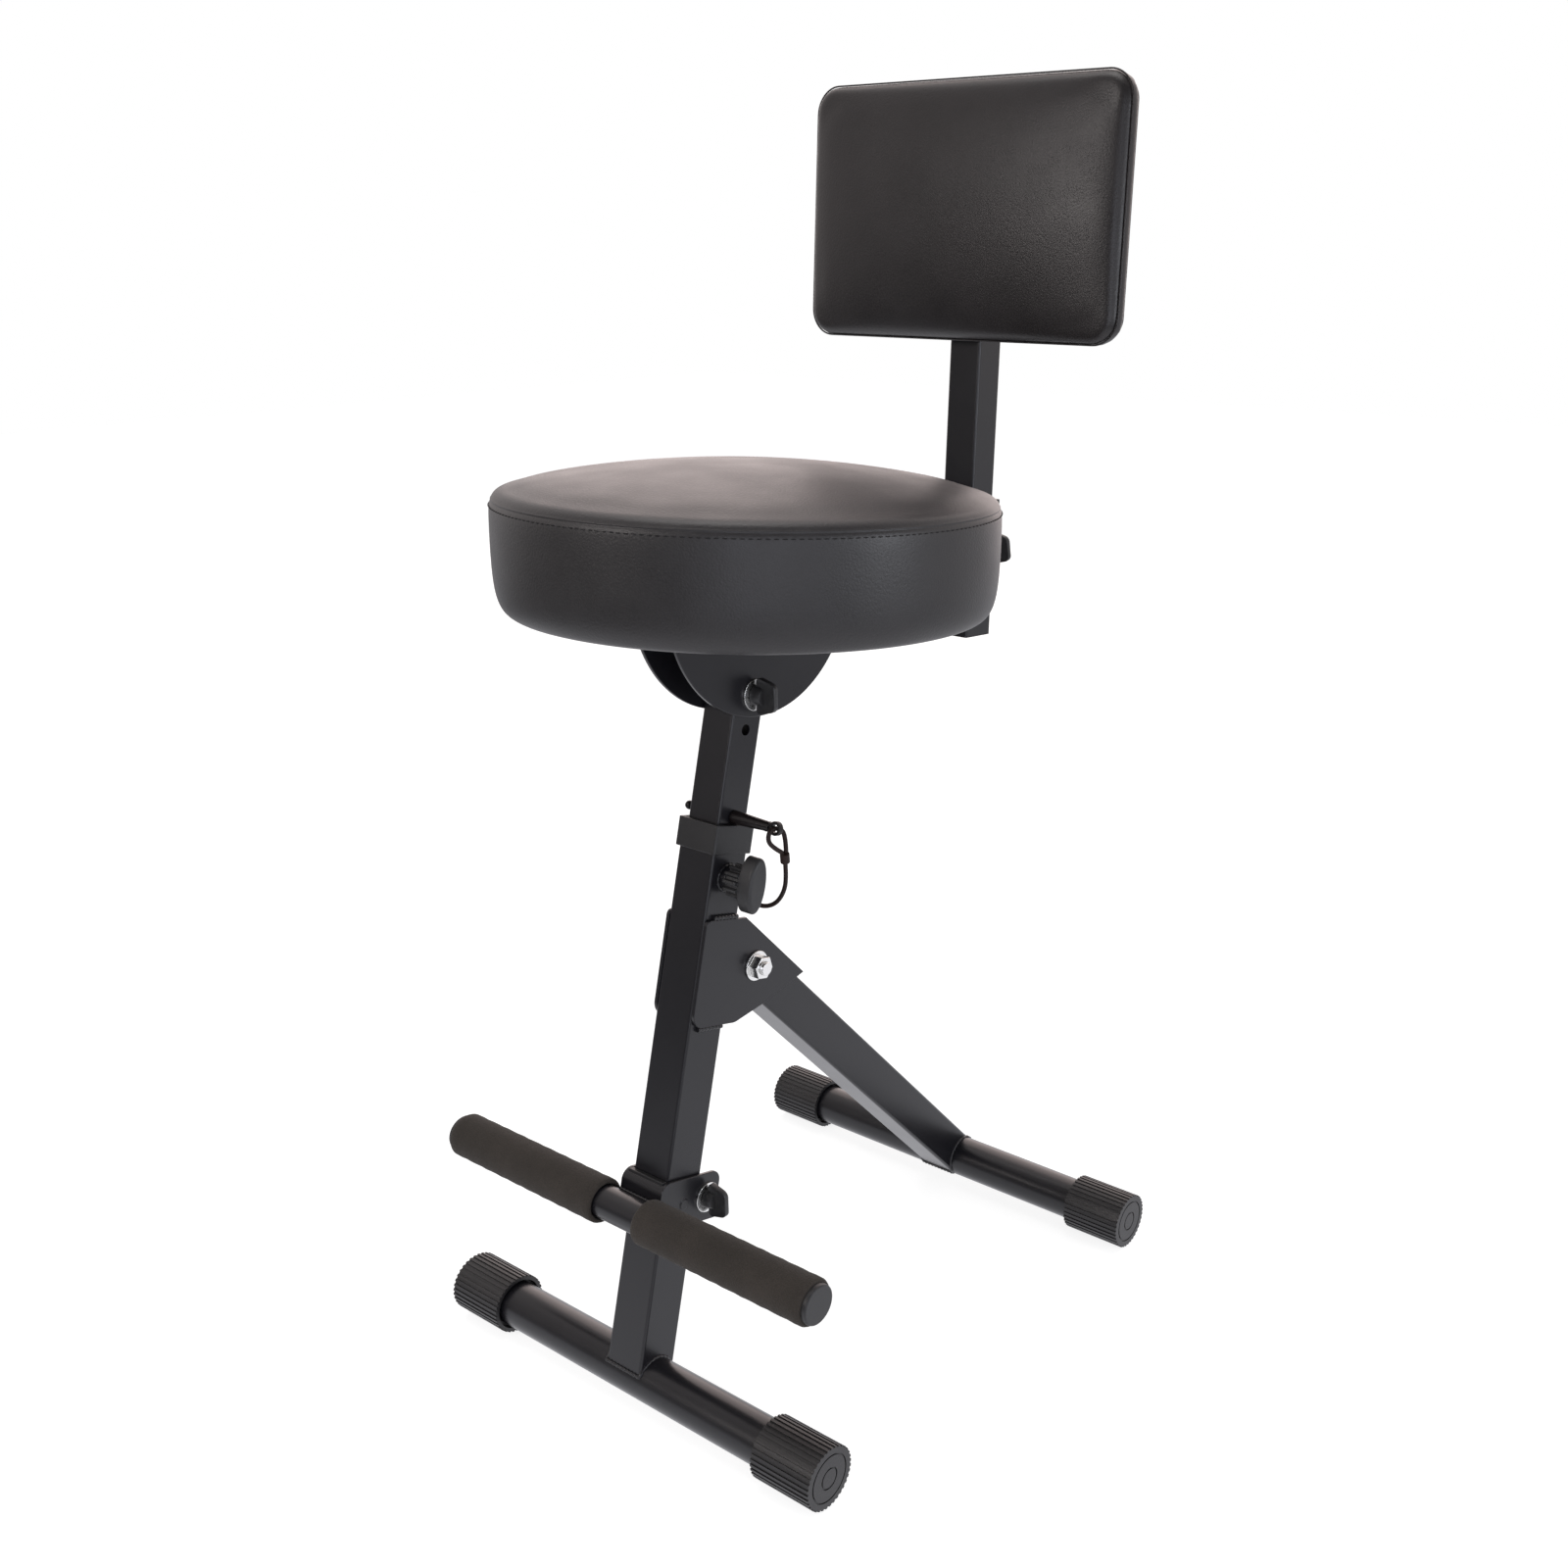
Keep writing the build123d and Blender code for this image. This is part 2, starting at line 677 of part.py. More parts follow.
# Seat cushion: a drum with a bulging band, a seam below the shoulder and a low crown
with BuildPart() as seat_cushion:
    with BuildSketch(seat_side(0)):
        with BuildLine():
            Line((0, -seat_band_height), (seat_rim_radius, -seat_band_height))
            low = (seat_girth_radius, -seat_bulge_low)
            ThreePointArc(
                (seat_rim_radius, -seat_band_height),
                (
                    seat_rim_radius + (seat_girth_radius - seat_rim_radius) * seat_band_out_share,
                    -seat_bulge_low - (seat_band_height - seat_bulge_low) * seat_band_down_share,
                ),
                low,
            )
            Line(low, (seat_girth_radius, -seat_bulge_high))
            Line((seat_girth_radius, -seat_bulge_high), (seat_seam_radius, 0))
            shoulder = (seat_shoulder_radius, seat_shoulder_height)
            ThreePointArc(
                (seat_seam_radius, 0),
                (
                    seat_seam_radius - (seat_seam_radius - seat_shoulder_radius) * seat_shoulder_in_share,
                    seat_shoulder_height * seat_shoulder_up_share,
                ),
                shoulder,
            )
            crown = (0, seat_crown_height)
            crown_rise = seat_crown_height - seat_shoulder_height
            crown_sphere = (seat_shoulder_radius**2 + crown_rise**2) / (2 * crown_rise)
            half_radius = seat_shoulder_radius / 2
            half_drop = crown_sphere - math.sqrt(crown_sphere**2 - half_radius**2)
            ThreePointArc(shoulder, (half_radius, seat_crown_height - half_drop), crown)
            Line(crown, (0, -seat_band_height))
        make_face()
    revolve(axis=Axis(seat_plane.origin, seat_plane.z_dir))
    with BuildSketch(seat_plane.offset(-seat_band_height)):
        Circle(board_radius + board_fit)
    extrude(amount=board_inset + board_thickness + board_fit, mode=Mode.SUBTRACT)
finish(seat_cushion.part, "seat_cushion")

# Backrest arm: a square tube welded under the yoke's base, ending on the socket's front face
arm_top = yoke_base_bottom
socket_width = inner_width + 2 * (collar_clearance + socket_wall) + face_clearance
socket_half = socket_width / 2
with BuildPart() as backrest_arm:
    arm_start_plane = Plane(
        origin=seat_plane.from_local_coords((0, arm_start, arm_top - arm_width / 2)),
        x_dir=X,
        z_dir=seat_plane.y_dir,
    )
    with BuildSketch(arm_start_plane):
        square_ring(arm_width, arm_wall)
    extrude(amount=foot_spread)
    face_origin = back_plane.from_local_coords((0, -socket_half, 0))
    socket_face = Plane(origin=face_origin, x_dir=X, z_dir=back_plane.y_dir)
    split(bisect_by=socket_face, keep=Keep.BOTTOM)
finish(backrest_arm.part, "backrest_arm")


def socket_side(x):
    """Plane square to X with its origin on the line of the backrest's clamp bolt."""
    origin = back_plane.from_local_coords((x, 0, socket_screw_height))
    return Plane(origin=origin, x_dir=back_plane.y_dir, z_dir=X)


def back_face(depth, height):
    """Plane that looks forward from the backrest's frame: local x is to the left, local y is up."""
    origin = back_plane.from_local_coords((0, depth, height))
    return Plane(origin=origin, x_dir=X, z_dir=-back_plane.y_dir)


# Backrest socket: a short square tube that leans back with the backrest
with BuildPart() as backrest_socket:
    with BuildSketch(back_plane):
        square_ring(socket_width, socket_wall)
    extrude(amount=socket_length)
    with BuildSketch(socket_side(0)):
        Circle(wing_bolt_radius + wing_bolt_clearance)
    extrude(amount=socket_width, mode=Mode.SUBTRACT)
finish(backrest_socket.part, "backrest_socket")

make_collar(back_plane, socket_length, socket_width, "socket_collar")

# Backrest tube: slides in the socket and carries the board
with BuildPart() as backrest_tube:
    with BuildSketch(back_plane.offset(backrest_tube_bottom)):
        square_ring(inner_width, inner_wall)
    extrude(amount=backrest_tube_top - backrest_tube_bottom)
    with BuildSketch(back_face(inner_width, 0)):
        with Locations((0, backrest_bolt_low), (0, backrest_bolt_high)):
            Circle(backrest_bolt_radius)
    extrude(amount=2 * inner_width, mode=Mode.SUBTRACT)
finish(backrest_tube.part, "backrest_tube")
make_plug(back_plane.offset(backrest_tube_top), inner_width, plug_cap_height, -1, "backrest_tube_cap")

# Backrest clamp: a welded boss on the socket's side, with a wing bolt that presses on the tube
with BuildPart() as socket_boss:
    with BuildSketch(socket_side(socket_half)):
        Circle(boss_radius)
        Circle(wing_bolt_radius + wing_bolt_clearance, mode=Mode.SUBTRACT)
    extrude(amount=boss_height)
finish(socket_boss.part, "socket_boss")
back_bolt_plane = socket_side(socket_half + boss_height)
make_wing_bolt(back_bolt_plane, socket_half + boss_height - inner_half - face_clearance, "backrest_wing_bolt")
make_washer(back_bolt_plane, "backrest_bolt_washer")

# Backrest board: a plywood panel on the front of the tube
backrest_middle = backrest_low + backrest_height / 2
board_front = inner_half + backrest_board_thickness
with BuildPart() as backrest_board:
    with BuildSketch(back_face(-inner_half, backrest_middle)):
        RectangleRounded(
            backrest_width - 2 * backrest_board_margin,
            backrest_height - 2 * backrest_board_margin,
            backrest_corner - backrest_board_margin,
        )
    extrude(amount=backrest_board_thickness)
    with BuildSketch(back_face(-inner_half, 0)):
        with Locations((0, backrest_bolt_low), (0, backrest_bolt_high)):
            Circle(backrest_bolt_radius)
    extrude(amount=backrest_bolt_bite, mode=Mode.SUBTRACT)
finish(backrest_board.part, "backrest_board")

# Backrest cushion: its front is crowned across the width and rounded over all round the edge
cushion_depth = backrest_wrap + backrest_band + backrest_crown
crown_radius = ((backrest_width / 2) ** 2 + backrest_crown**2) / (2 * backrest_crown)
cushion_back = board_front - backrest_wrap
cushion_front = cushion_back + cushion_depth
with BuildPart() as backrest_cushion:
    with BuildSketch(back_face(-cushion_back, backrest_middle)):
        RectangleRounded(backrest_width, backrest_height, backrest_corner)
    extrude(amount=cushion_depth)
    crown_origin = back_plane.from_local_coords((0, crown_radius - cushion_front, backrest_low))
    with BuildSketch(Plane(origin=crown_origin, x_dir=X, z_dir=back_plane.z_dir)):
        Circle(crown_radius)
    extrude(amount=backrest_height, mode=Mode.INTERSECT)
    crowned_face = backrest_cushion.faces().sort_by(SortBy.AREA)[-2:].sort_by(Axis.Y)[0]
    fillet(crowned_face.edges(), backrest_edge_round)
    with BuildSketch(back_face(0, backrest_middle)):
        RectangleRounded(
            backrest_width - 2 * backrest_board_margin + 2 * board_fit,
            backrest_height - 2 * backrest_board_margin + 2 * board_fit,
            backrest_corner - backrest_board_margin + board_fit,
        )
    extrude(amount=board_front + board_fit, mode=Mode.SUBTRACT)
finish(backrest_cushion.part, "backrest_cushion")

# Backrest bolts: heads behind the tube, shanks through it into the board
with BuildPart() as backrest_bolts:
    with BuildSketch(back_face(inner_half, 0)):
        with Locations((0, backrest_bolt_low), (0, backrest_bolt_high)):
            Circle(backrest_bolt_radius)
    extrude(amount=inner_width + backrest_bolt_bite)
    with BuildSketch(back_face(inner_half, 0)):
        with Locations((0, backrest_bolt_low), (0, backrest_bolt_high)):
            Circle(backrest_bolt_head_radius)
    extrude(amount=-backrest_bolt_head_height)
finish(backrest_bolts.part, "backrest_bolts")

# Footrest clamp: a channel round the post, with a pressed round in each cheek
clamp_inner = outer_half + clamp_clearance
clamp_outer = clamp_inner + clamp_thickness
footrest_tube_radius = footrest_tube_diameter / 2
web_outer = footrest_forward - footrest_tube_radius
web_inner = web_outer - clamp_thickness
with BuildPart() as footrest_clamp:
    with BuildSketch(post_side(-clamp_outer)) as clamp_sketch:
        with BuildLine():
            Polyline(
                (-web_outer, clamp_middle - clamp_height / 2),
                (-web_outer, clamp_middle + clamp_height / 2),
                (clamp_rear, clamp_middle + clamp_height / 2),
                (clamp_rear, clamp_middle - clamp_height / 2),
                close=True,
            )
        make_face()
        fillet(clamp_sketch.vertices().sort_by(Axis.Y)[-2:], clamp_corner)
    extrude(amount=2 * clamp_outer)
    with BuildSketch(post_side(-clamp_inner)):
        with Locations((-web_inner + cap_diameter, clamp_middle)):
            Rectangle(2 * cap_diameter, 2 * clamp_height)
    extrude(amount=2 * clamp_inner, mode=Mode.SUBTRACT)
    with BuildSketch(post_side(-clamp_outer)):
        with Locations((clamp_bolt_depth, clamp_middle)):
            Circle(wing_bolt_radius + wing_bolt_clearance)
    extrude(amount=2 * clamp_outer, mode=Mode.SUBTRACT)
    for side in (-1, 1):
        with BuildSketch(post_side(side * clamp_outer)):
            with Locations((0, clamp_middle - rivet_height)):
                Circle(rivet_radius)
        extrude(amount=side * rivet_height)
finish(footrest_clamp.part, "footrest_clamp")

# Clamp pad: a nylon block between the channel's web and the post
with BuildPart() as clamp_pad:
    with BuildSketch(post_side(-outer_half)):
        with Locations((-(web_inner + outer_half + clamp_clearance) / 2, clamp_middle)):
            Rectangle(web_inner - outer_half - clamp_clearance, clamp_height)
    extrude(amount=outer_width)
finish(clamp_pad.part, "clamp_pad")

foot_bolt_plane = post_side(clamp_outer, clamp_bolt_depth, clamp_middle)
make_wing_bolt(foot_bolt_plane, 2 * clamp_outer + nut_height, "footrest_wing_bolt")
make_washer(foot_bolt_plane, "footrest_bolt_washer")
make_nut(foot_bolt_plane.offset(-2 * clamp_outer), "footrest_bolt_nut")

# Footrest tube, its two foam sleeves and its end plugs
tube_end = footrest_tube_length / 2
with BuildPart() as footrest_tube:
    with BuildSketch(post_side(-tube_end, -footrest_forward, footrest_height_on_post)):
        Circle(footrest_tube_radius)
        Circle(footrest_tube_radius - footrest_tube_wall, mode=Mode.SUBTRACT)
    extrude(amount=footrest_tube_length)
finish(footrest_tube.part, "footrest_tube")

with BuildPart() as foam_sleeves:
    for side in (-1, 1):
        with BuildSketch(post_side(side * tube_end, -footrest_forward, footrest_height_on_post)):
            Circle(sleeve_diameter / 2)
            Circle(footrest_tube_radius + sleeve_fit, mode=Mode.SUBTRACT)
        extrude(amount=-side * sleeve_length)
finish(foam_sleeves.part, "foam_sleeves")

with BuildPart() as footrest_plugs:
    for side in (-1, 1):
        with BuildSketch(post_side(side * tube_end, -footrest_forward, footrest_height_on_post)):
            Circle(plug_diameter / 2)
        extrude(amount=side * plug_head)
        with BuildSketch(post_side(side * tube_end, -footrest_forward, footrest_height_on_post)):
            Circle(footrest_tube_radius - footrest_tube_wall - sleeve_fit)
        extrude(amount=-side * plug_depth)
    fillet(footrest_plugs.edges().group_by(Axis.X)[-1], plug_round)
    fillet(footrest_plugs.edges().group_by(Axis.X)[0], plug_round)
finish(footrest_plugs.part, "footrest_plugs")


# Lanyard: a cord loop through the pin's eye, a ferrule, and a free run to the knob's boss
def bend_radii(points):
    """Radius of each corner: a share of its shorter run over the tangent of half its turn."""
    radii = []
    for before, here, after in zip(points, points[1:], points[2:]):
        first = Vector(*here) - Vector(*before)
        second = Vector(*after) - Vector(*here)
        turn = math.radians(first.get_angle(second))
        radii.append(cord_bend_share * min(first.length, second.length) / math.tan(turn / 2))
    return radii


loop_route = [
    (57.6, 13.2, -17.1),
    (58.2, 10.0, -7.8),
    (57.0, 6.0, 0.0),
    (56.2, -6.0, 0.0),
    (55.8, -6.5, -9.3),
    (56.4, 2.6, -14.9),
    (56.7, 9.3, -17.4),
]
free_route = [
    (56.4, 15.4, -25.1),
    (54.5, 21.5, -37.3),
]
knob_route = [
    (49.5, 27.0, -5.0),
    (41.0, 30.5, -15.5),
    (31.0, 30.0, -20.5),
    (23.4, 24.0, -18.5),
    (20.8, 16.5, -11.0),
    (20.8, 7.6, -5.1),
]


def on_post(points, height):
    """Places of the points, whose heights are told from a height on the post."""
    return [post_plane.from_local_coords((x, depth, height + above)) for x, depth, above in points]


loop_places = on_post(loop_route, pin_height)
free_places = on_post(free_route, pin_height) + on_post(knob_route, knob_height_on_post)


with BuildPart() as pin_lanyard:
    for route in (loop_places, free_places):
        with BuildLine() as cord_line:
            FilletPolyline(*route, radius=bend_radii([tuple(point) for point in route]))
        with BuildSketch(Plane(origin=cord_line.line @ 0, z_dir=cord_line.line % 0)):
            Circle(cord_diameter / 2)
        sweep(path=cord_line.line)
        cord_section = math.pi * (cord_diameter / 2) ** 2
        print("lanyard radii", [round(radius, 1) for radius in bend_radii([tuple(p) for p in route])])
        cord_length = cord_line.wires()[0].length
        print("lanyard length", round(cord_length, 1), "section times length", round(cord_section * cord_length, 1))
print("lanyard volume", pin_lanyard.part.volume)
finish(pin_lanyard.part, "pin_lanyard")

ferrule_foot = free_places[0]
ferrule_axis = ferrule_foot - free_places[1]
with BuildPart() as lanyard_ferrule:
    with BuildSketch(Plane(origin=ferrule_foot, z_dir=ferrule_axis)):
        Circle(ferrule_diameter / 2)
    extrude(amount=ferrule_length)
finish(lanyard_ferrule.part, "lanyard_ferrule")
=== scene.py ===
import json
import logging
import math
from dataclasses import dataclass
from enum import Enum
from functools import lru_cache
from typing import Callable, Iterable, Sequence

import bpy
from mathutils import Matrix, Vector

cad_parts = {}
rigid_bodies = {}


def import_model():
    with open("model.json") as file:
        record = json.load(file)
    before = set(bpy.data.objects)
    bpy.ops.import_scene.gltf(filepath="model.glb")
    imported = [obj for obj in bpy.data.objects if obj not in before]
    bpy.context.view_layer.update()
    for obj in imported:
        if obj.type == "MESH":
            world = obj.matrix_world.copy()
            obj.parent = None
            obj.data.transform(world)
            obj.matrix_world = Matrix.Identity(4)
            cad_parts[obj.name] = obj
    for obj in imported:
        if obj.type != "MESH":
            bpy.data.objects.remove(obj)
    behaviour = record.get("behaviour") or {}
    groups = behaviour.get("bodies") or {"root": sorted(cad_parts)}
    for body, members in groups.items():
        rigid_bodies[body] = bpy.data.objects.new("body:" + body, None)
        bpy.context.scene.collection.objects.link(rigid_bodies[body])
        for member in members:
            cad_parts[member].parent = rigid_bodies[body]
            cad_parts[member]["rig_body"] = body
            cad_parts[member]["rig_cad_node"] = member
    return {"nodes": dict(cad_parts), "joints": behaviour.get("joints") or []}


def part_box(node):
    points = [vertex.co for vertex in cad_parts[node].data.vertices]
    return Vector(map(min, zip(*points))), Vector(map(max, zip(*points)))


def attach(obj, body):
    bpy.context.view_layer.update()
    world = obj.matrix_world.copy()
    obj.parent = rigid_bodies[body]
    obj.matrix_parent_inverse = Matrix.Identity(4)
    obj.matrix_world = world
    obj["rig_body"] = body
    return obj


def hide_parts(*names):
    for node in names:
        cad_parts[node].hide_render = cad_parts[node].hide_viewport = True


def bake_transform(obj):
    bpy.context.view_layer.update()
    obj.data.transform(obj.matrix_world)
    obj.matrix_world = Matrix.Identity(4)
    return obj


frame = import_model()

LOG = logging.getLogger("guitar_stool")
Point = tuple[float, float, float]
Pair = tuple[float, float]
Ring = Pair
Piece = bpy.types.Object
Node = bpy.types.Node
Tree = bpy.types.NodeTree
Socket = bpy.types.NodeSocket


# How finely the grains are broken up, and how they mix
FINE_DETAIL = 3.0
BROAD_SCALE = 22.0
BROAD_DETAIL = 4.0
BROAD_SHARE = 0.7
FINE_SHARE = 0.3
BLEND_SPAN = (0.32, 0.68)
GLOSS_SPAN = (0.3, 0.7)
CELL_SMOOTHNESS = 0.35
CREASE_SCALE = 0.16
CREASE_DETAIL = 4.0
LEATHER_LEVEL = 0.5
PORE_SCALE = 0.8
SKIN_SHARE = 1.4
TURNING_STRETCH = (0.2, 1.0, 1.0)
TURNING_DETAIL = 2.0
VENEER_STRETCH = (0.06, 1.0, 1.0)
VENEER_DETAIL = 5.0

# How beads and rounded edges are made
RIPPLE_TURN = 1.9
BEAD_ROUNDNESS = 3
MERGE_REACH = 2e-6
ON_PLANE = 1e-5
ORDER_DIGITS = 6
FLAT_ANGLE = 1.0
SHARP_ANGLE = 38.0


# Finishes
class Grain(Enum):
    """How the surface of a finish is broken up."""

    POWDER = "orange peel of a powder coat"
    LEATHER = "pebbled cells of faux leather"
    FOAM = "open pores of a foam skin"
    RUBBER = "matt skin of moulded rubber"
    MOULDED = "fine spark texture of a plastic moulding"
    PLATED = "faint turning lines of plated steel"
    CORD = "lengthwise ripple of a sheathed cord"
    THREAD = "twist of a sewing thread"
    PLY = "veneer of stained plywood"


@dataclass(frozen=True)
class Finish:
    """One finish: its colours, its gloss and its grain, in metres."""

    name: str
    slot: str
    colour: Point
    shade: Point
    roughness: float
    spread: float
    grain: Grain
    scale: float
    depth: float
    ior: float = 1.32
    metallic: float = 0.0
    sheen: float = 0.0

    def material(self) -> bpy.types.Material:
        """Returns the finish's material, made once."""
        return make_material(self)


def add_node(tree: Tree, kind: str, inputs: dict[str | int, object], **settings: object) -> Node:
    """Adds a shader node.

    Args:
        tree: The node tree.
        kind: The node's type, without the word ShaderNode.
        inputs: A value, or the socket to link, for each named or numbered input.
        **settings: The node's own settings.

    Returns:
        The new node.
    """
    node = tree.nodes.new("ShaderNode" + kind)
    for name, value in settings.items():
        setattr(node, name, value)
    for place, value in inputs.items():
        if isinstance(value, Socket):
            tree.links.new(value, node.inputs[place])
        else:
            node.inputs[place].default_value = value
    return node


def add_place(tree: Tree, name: str) -> Socket:
    """Adds a texture coordinate."""
    return add_node(tree, "TexCoord", {}).outputs[name]


def add_noise(tree: Tree, place: Socket, scale: float, detail: float) -> Socket:
    """Adds a noise of a scale, in features to the metre, with a number of finer levels."""
    return add_node(tree, "TexNoise", {"Vector": place, "Scale": scale, "Detail": detail}).outputs["Fac"]


def add_cells(tree: Tree, place: Socket, scale: float) -> Socket:
    """Adds smooth cells, and returns the socket with the distance to each cell's middle."""
    inputs = {"Vector": place, "Scale": scale, "Smoothness": CELL_SMOOTHNESS}
    return add_node(tree, "TexVoronoi", inputs, feature="SMOOTH_F1").outputs["Distance"]


def add_math(tree: Tree, kind: str, first: Socket, second: "float | Socket") -> Socket:
    """Adds a math node whose second value is a number or another socket, and returns its result."""
    return add_node(tree, "Math", {0: first, 1: second}, operation=kind).outputs[0]


def add_range(tree: Tree, value: Socket, span: Pair, ends: Pair, kind: str) -> Socket:
    """Adds a node that takes a value from one span to another.

    Args:
        tree: The node tree.
        value: The socket with the value.
        span: The values that become the ends.
        ends: What they become.
        kind: LINEAR or SMOOTHSTEP.

    Returns:
        The socket with the new value.
    """
    limits = zip(("From Min", "From Max", "To Min", "To Max"), (*span, *ends))
    inputs = {"Value": value, **dict(limits)}
    return add_node(tree, "MapRange", inputs, interpolation_type=kind).outputs["Result"]


def add_stretch(tree: Tree, place: Socket, factors: Point) -> Socket:
    """Adds a mapping that scales the coordinates by three factors."""
    return add_node(tree, "Mapping", {"Vector": place, "Scale": factors}).outputs["Vector"]


def grain_height(tree: Tree, place: Socket, finish: Finish) -> Socket:
    """Builds the height that a grain gives.

    Args:
        tree: The material's node tree.
        place: The socket with the object's coordinates.
        finish: The finish whose grain is built.

    Returns:
        The socket with the height, from about 0 to 1.
    """
    fine = add_noise(tree, place, finish.scale, FINE_DETAIL)
    if finish.grain is Grain.LEATHER:
        cells = add_cells(tree, place, finish.scale)
        creases = add_noise(tree, place, finish.scale * CREASE_SCALE, CREASE_DETAIL)
        pebbles = add_math(tree, "MULTIPLY", creases, add_math(tree, "SUBTRACT", fine, cells))
        return add_math(tree, "ADD", pebbles, LEATHER_LEVEL)
    if finish.grain is Grain.FOAM:
        pores = add_cells(tree, place, finish.scale * PORE_SCALE)
        return add_math(tree, "SUBTRACT", add_math(tree, "MULTIPLY", fine, SKIN_SHARE), pores)
    if finish.grain is Grain.PLATED:
        return add_noise(tree, add_stretch(tree, place, TURNING_STRETCH), finish.scale, TURNING_DETAIL)
    if finish.grain is Grain.PLY:
        return add_noise(tree, add_stretch(tree, place, VENEER_STRETCH), finish.scale, VENEER_DETAIL)
    return fine


@lru_cache(maxsize=None)
def make_material(finish: Finish) -> bpy.types.Material:
    """Builds the procedural material of a finish.

    Args:
        finish: The finish to build.

    Returns:
        The new material.
    """
    made = bpy.data.materials.new(finish.name)
    made.use_nodes = True
    tree = made.node_tree
    surface = tree.nodes["Principled BSDF"]
    surface.inputs["IOR"].default_value = finish.ior
    surface.inputs["Metallic"].default_value = finish.metallic
    surface.inputs["Sheen Weight"].default_value = finish.sheen
    place = add_place(tree, "Object")
    broad = add_noise(tree, place, BROAD_SCALE, BROAD_DETAIL)
    height = grain_height(tree, place, finish)
    broad_part = add_math(tree, "MULTIPLY", broad, BROAD_SHARE)
    fine_part = add_math(tree, "MULTIPLY", height, FINE_SHARE)
    mixed = add_math(tree, "ADD", broad_part, fine_part)

    blend = add_node(tree, "ValToRGB", {"Fac": mixed})
    colours = (finish.shade, finish.colour)
    for element, position, colour in zip(blend.color_ramp.elements, BLEND_SPAN, colours):
        element.position = position
        element.color = (*colour, 1.0)
    tree.links.new(blend.outputs["Color"], surface.inputs["Base Color"])

    ends = (finish.roughness - finish.spread, finish.roughness + finish.spread)
    tree.links.new(add_range(tree, mixed, GLOSS_SPAN, ends, "LINEAR"), surface.inputs["Roughness"])

    bump = add_node(tree, "Bump", {"Strength": 1.0, "Distance": finish.depth, "Height": height})
    tree.links.new(bump.outputs["Normal"], surface.inputs["Normal"])
    return made


PAINT = Finish(
    "satin_black_powder_coat", "satin_black_paint", (0.0084, 0.0082, 0.0102), (0.007, 0.0068, 0.0086),
    0.29, 0.02, Grain.POWDER, 900.0, 0.00002, ior=1.43,
)
RUBBER = Finish(
    "ribbed_cap_rubber", "ribbed_rubber", (0.017, 0.016, 0.017), (0.011, 0.0105, 0.011),
    0.44, 0.06, Grain.RUBBER, 700.0, 0.0001, ior=1.47,
)
PLASTIC = Finish(
    "black_moulding", "black_plastic", (0.012, 0.012, 0.013), (0.009, 0.009, 0.01),
    0.42, 0.06, Grain.MOULDED, 1500.0, 0.00005, ior=1.46,
)
# Black plastic of the height knob and the wing handles, painted lighter than the other black plastic: painted
# light that lifts the shade on the wing blades.
KNOB_PLASTIC_PAINTED_LIGHTER = Finish(
    "knob_moulding_painted_lighter", "knob_plastic", (0.024, 0.024, 0.0255), (0.017, 0.017, 0.018),
    0.4, 0.05, Grain.MOULDED, 1600.0, 0.00006, ior=1.42,
)
PIN_BLACK = Finish(
    "blackened_pin", "blackened_steel", (0.009, 0.007, 0.0072), (0.006, 0.005, 0.0052),
    0.34, 0.06, Grain.MOULDED, 900.0, 0.00005, ior=1.33,
)
ZINC = Finish(
    "bright_zinc", "zinc", (0.82, 0.82, 0.8), (0.7, 0.7, 0.69),
    0.24, 0.08, Grain.PLATED, 1400.0, 0.00003, ior=1.5, metallic=1.0,
)
SHEATH = Finish(
    "lanyard_sheath", "cord_sheath", (0.02, 0.011, 0.0095), (0.009, 0.006, 0.0055),
    0.5, 0.08, Grain.CORD, 1200.0, 0.0001, ior=1.25,
)
FOAM = Finish(
    "grip_foam", "foam", (0.043, 0.0362, 0.0315), (0.028, 0.024, 0.0207),
    0.86, 0.08, Grain.FOAM, 1300.0, 0.00022, ior=1.2, sheen=0.06,
)
SEAT_LEATHER = Finish(
    "seat_faux_leather", "faux_leather", (0.0122, 0.0108, 0.0118), (0.0088, 0.0077, 0.0085),
    0.46, 0.05, Grain.LEATHER, 640.0, 0.00016, ior=1.54,
)
LEATHER = Finish(
    "faux_leather", "faux_leather", (0.0128, 0.0106, 0.0112), (0.0092, 0.0076, 0.0081),
    0.4, 0.05, Grain.LEATHER, 680.0, 0.00014, ior=1.47,
)
THREAD = Finish(
    "seam_thread", "faux_leather", (0.01, 0.009, 0.01), (0.006, 0.006, 0.006),
    0.6, 0.05, Grain.THREAD, 2500.0, 0.0001,
)
PLYWOOD = Finish(
    "stained_plywood", "plywood", (0.1, 0.075, 0.055), (0.06, 0.045, 0.032),
    0.62, 0.08, Grain.PLY, 420.0, 0.00025, ior=1.35,
)


# Modelling helpers
def start_fresh() -> None:
    """Leaves edit mode and deselects everything."""
    if bpy.context.mode != "OBJECT":
        bpy.ops.object.mode_set(mode="OBJECT")
    bpy.ops.object.select_all(action="DESELECT")


def pick(piece: Piece) -> None:
    """Selects one piece alone and makes it active.

    Args:
        piece: The piece.
    """
    start_fresh()
    piece.select_set(True)
    bpy.context.view_layer.objects.active = piece


def take_new(name: str) -> Piece:
    """Names the primitive that was just added and returns it.

    Args:
        name: Its new name.

    Returns:
        The piece.
    """
    piece = bpy.context.active_object
    piece.name = name
    piece.data.name = name
    return piece


def apply_modifier(piece: Piece, kind: str, **settings: object) -> None:
    """Adds a modifier to a piece and applies it.

    Args:
        piece: The piece.
        kind: Blender's name for the modifier.
        **settings: The modifier's values.
    """
    pick(piece)
    modifier = piece.modifiers.new(kind.title(), kind)
    for name, value in settings.items():
        setattr(modifier, name, value)
    bpy.ops.object.modifier_apply(modifier=modifier.name)


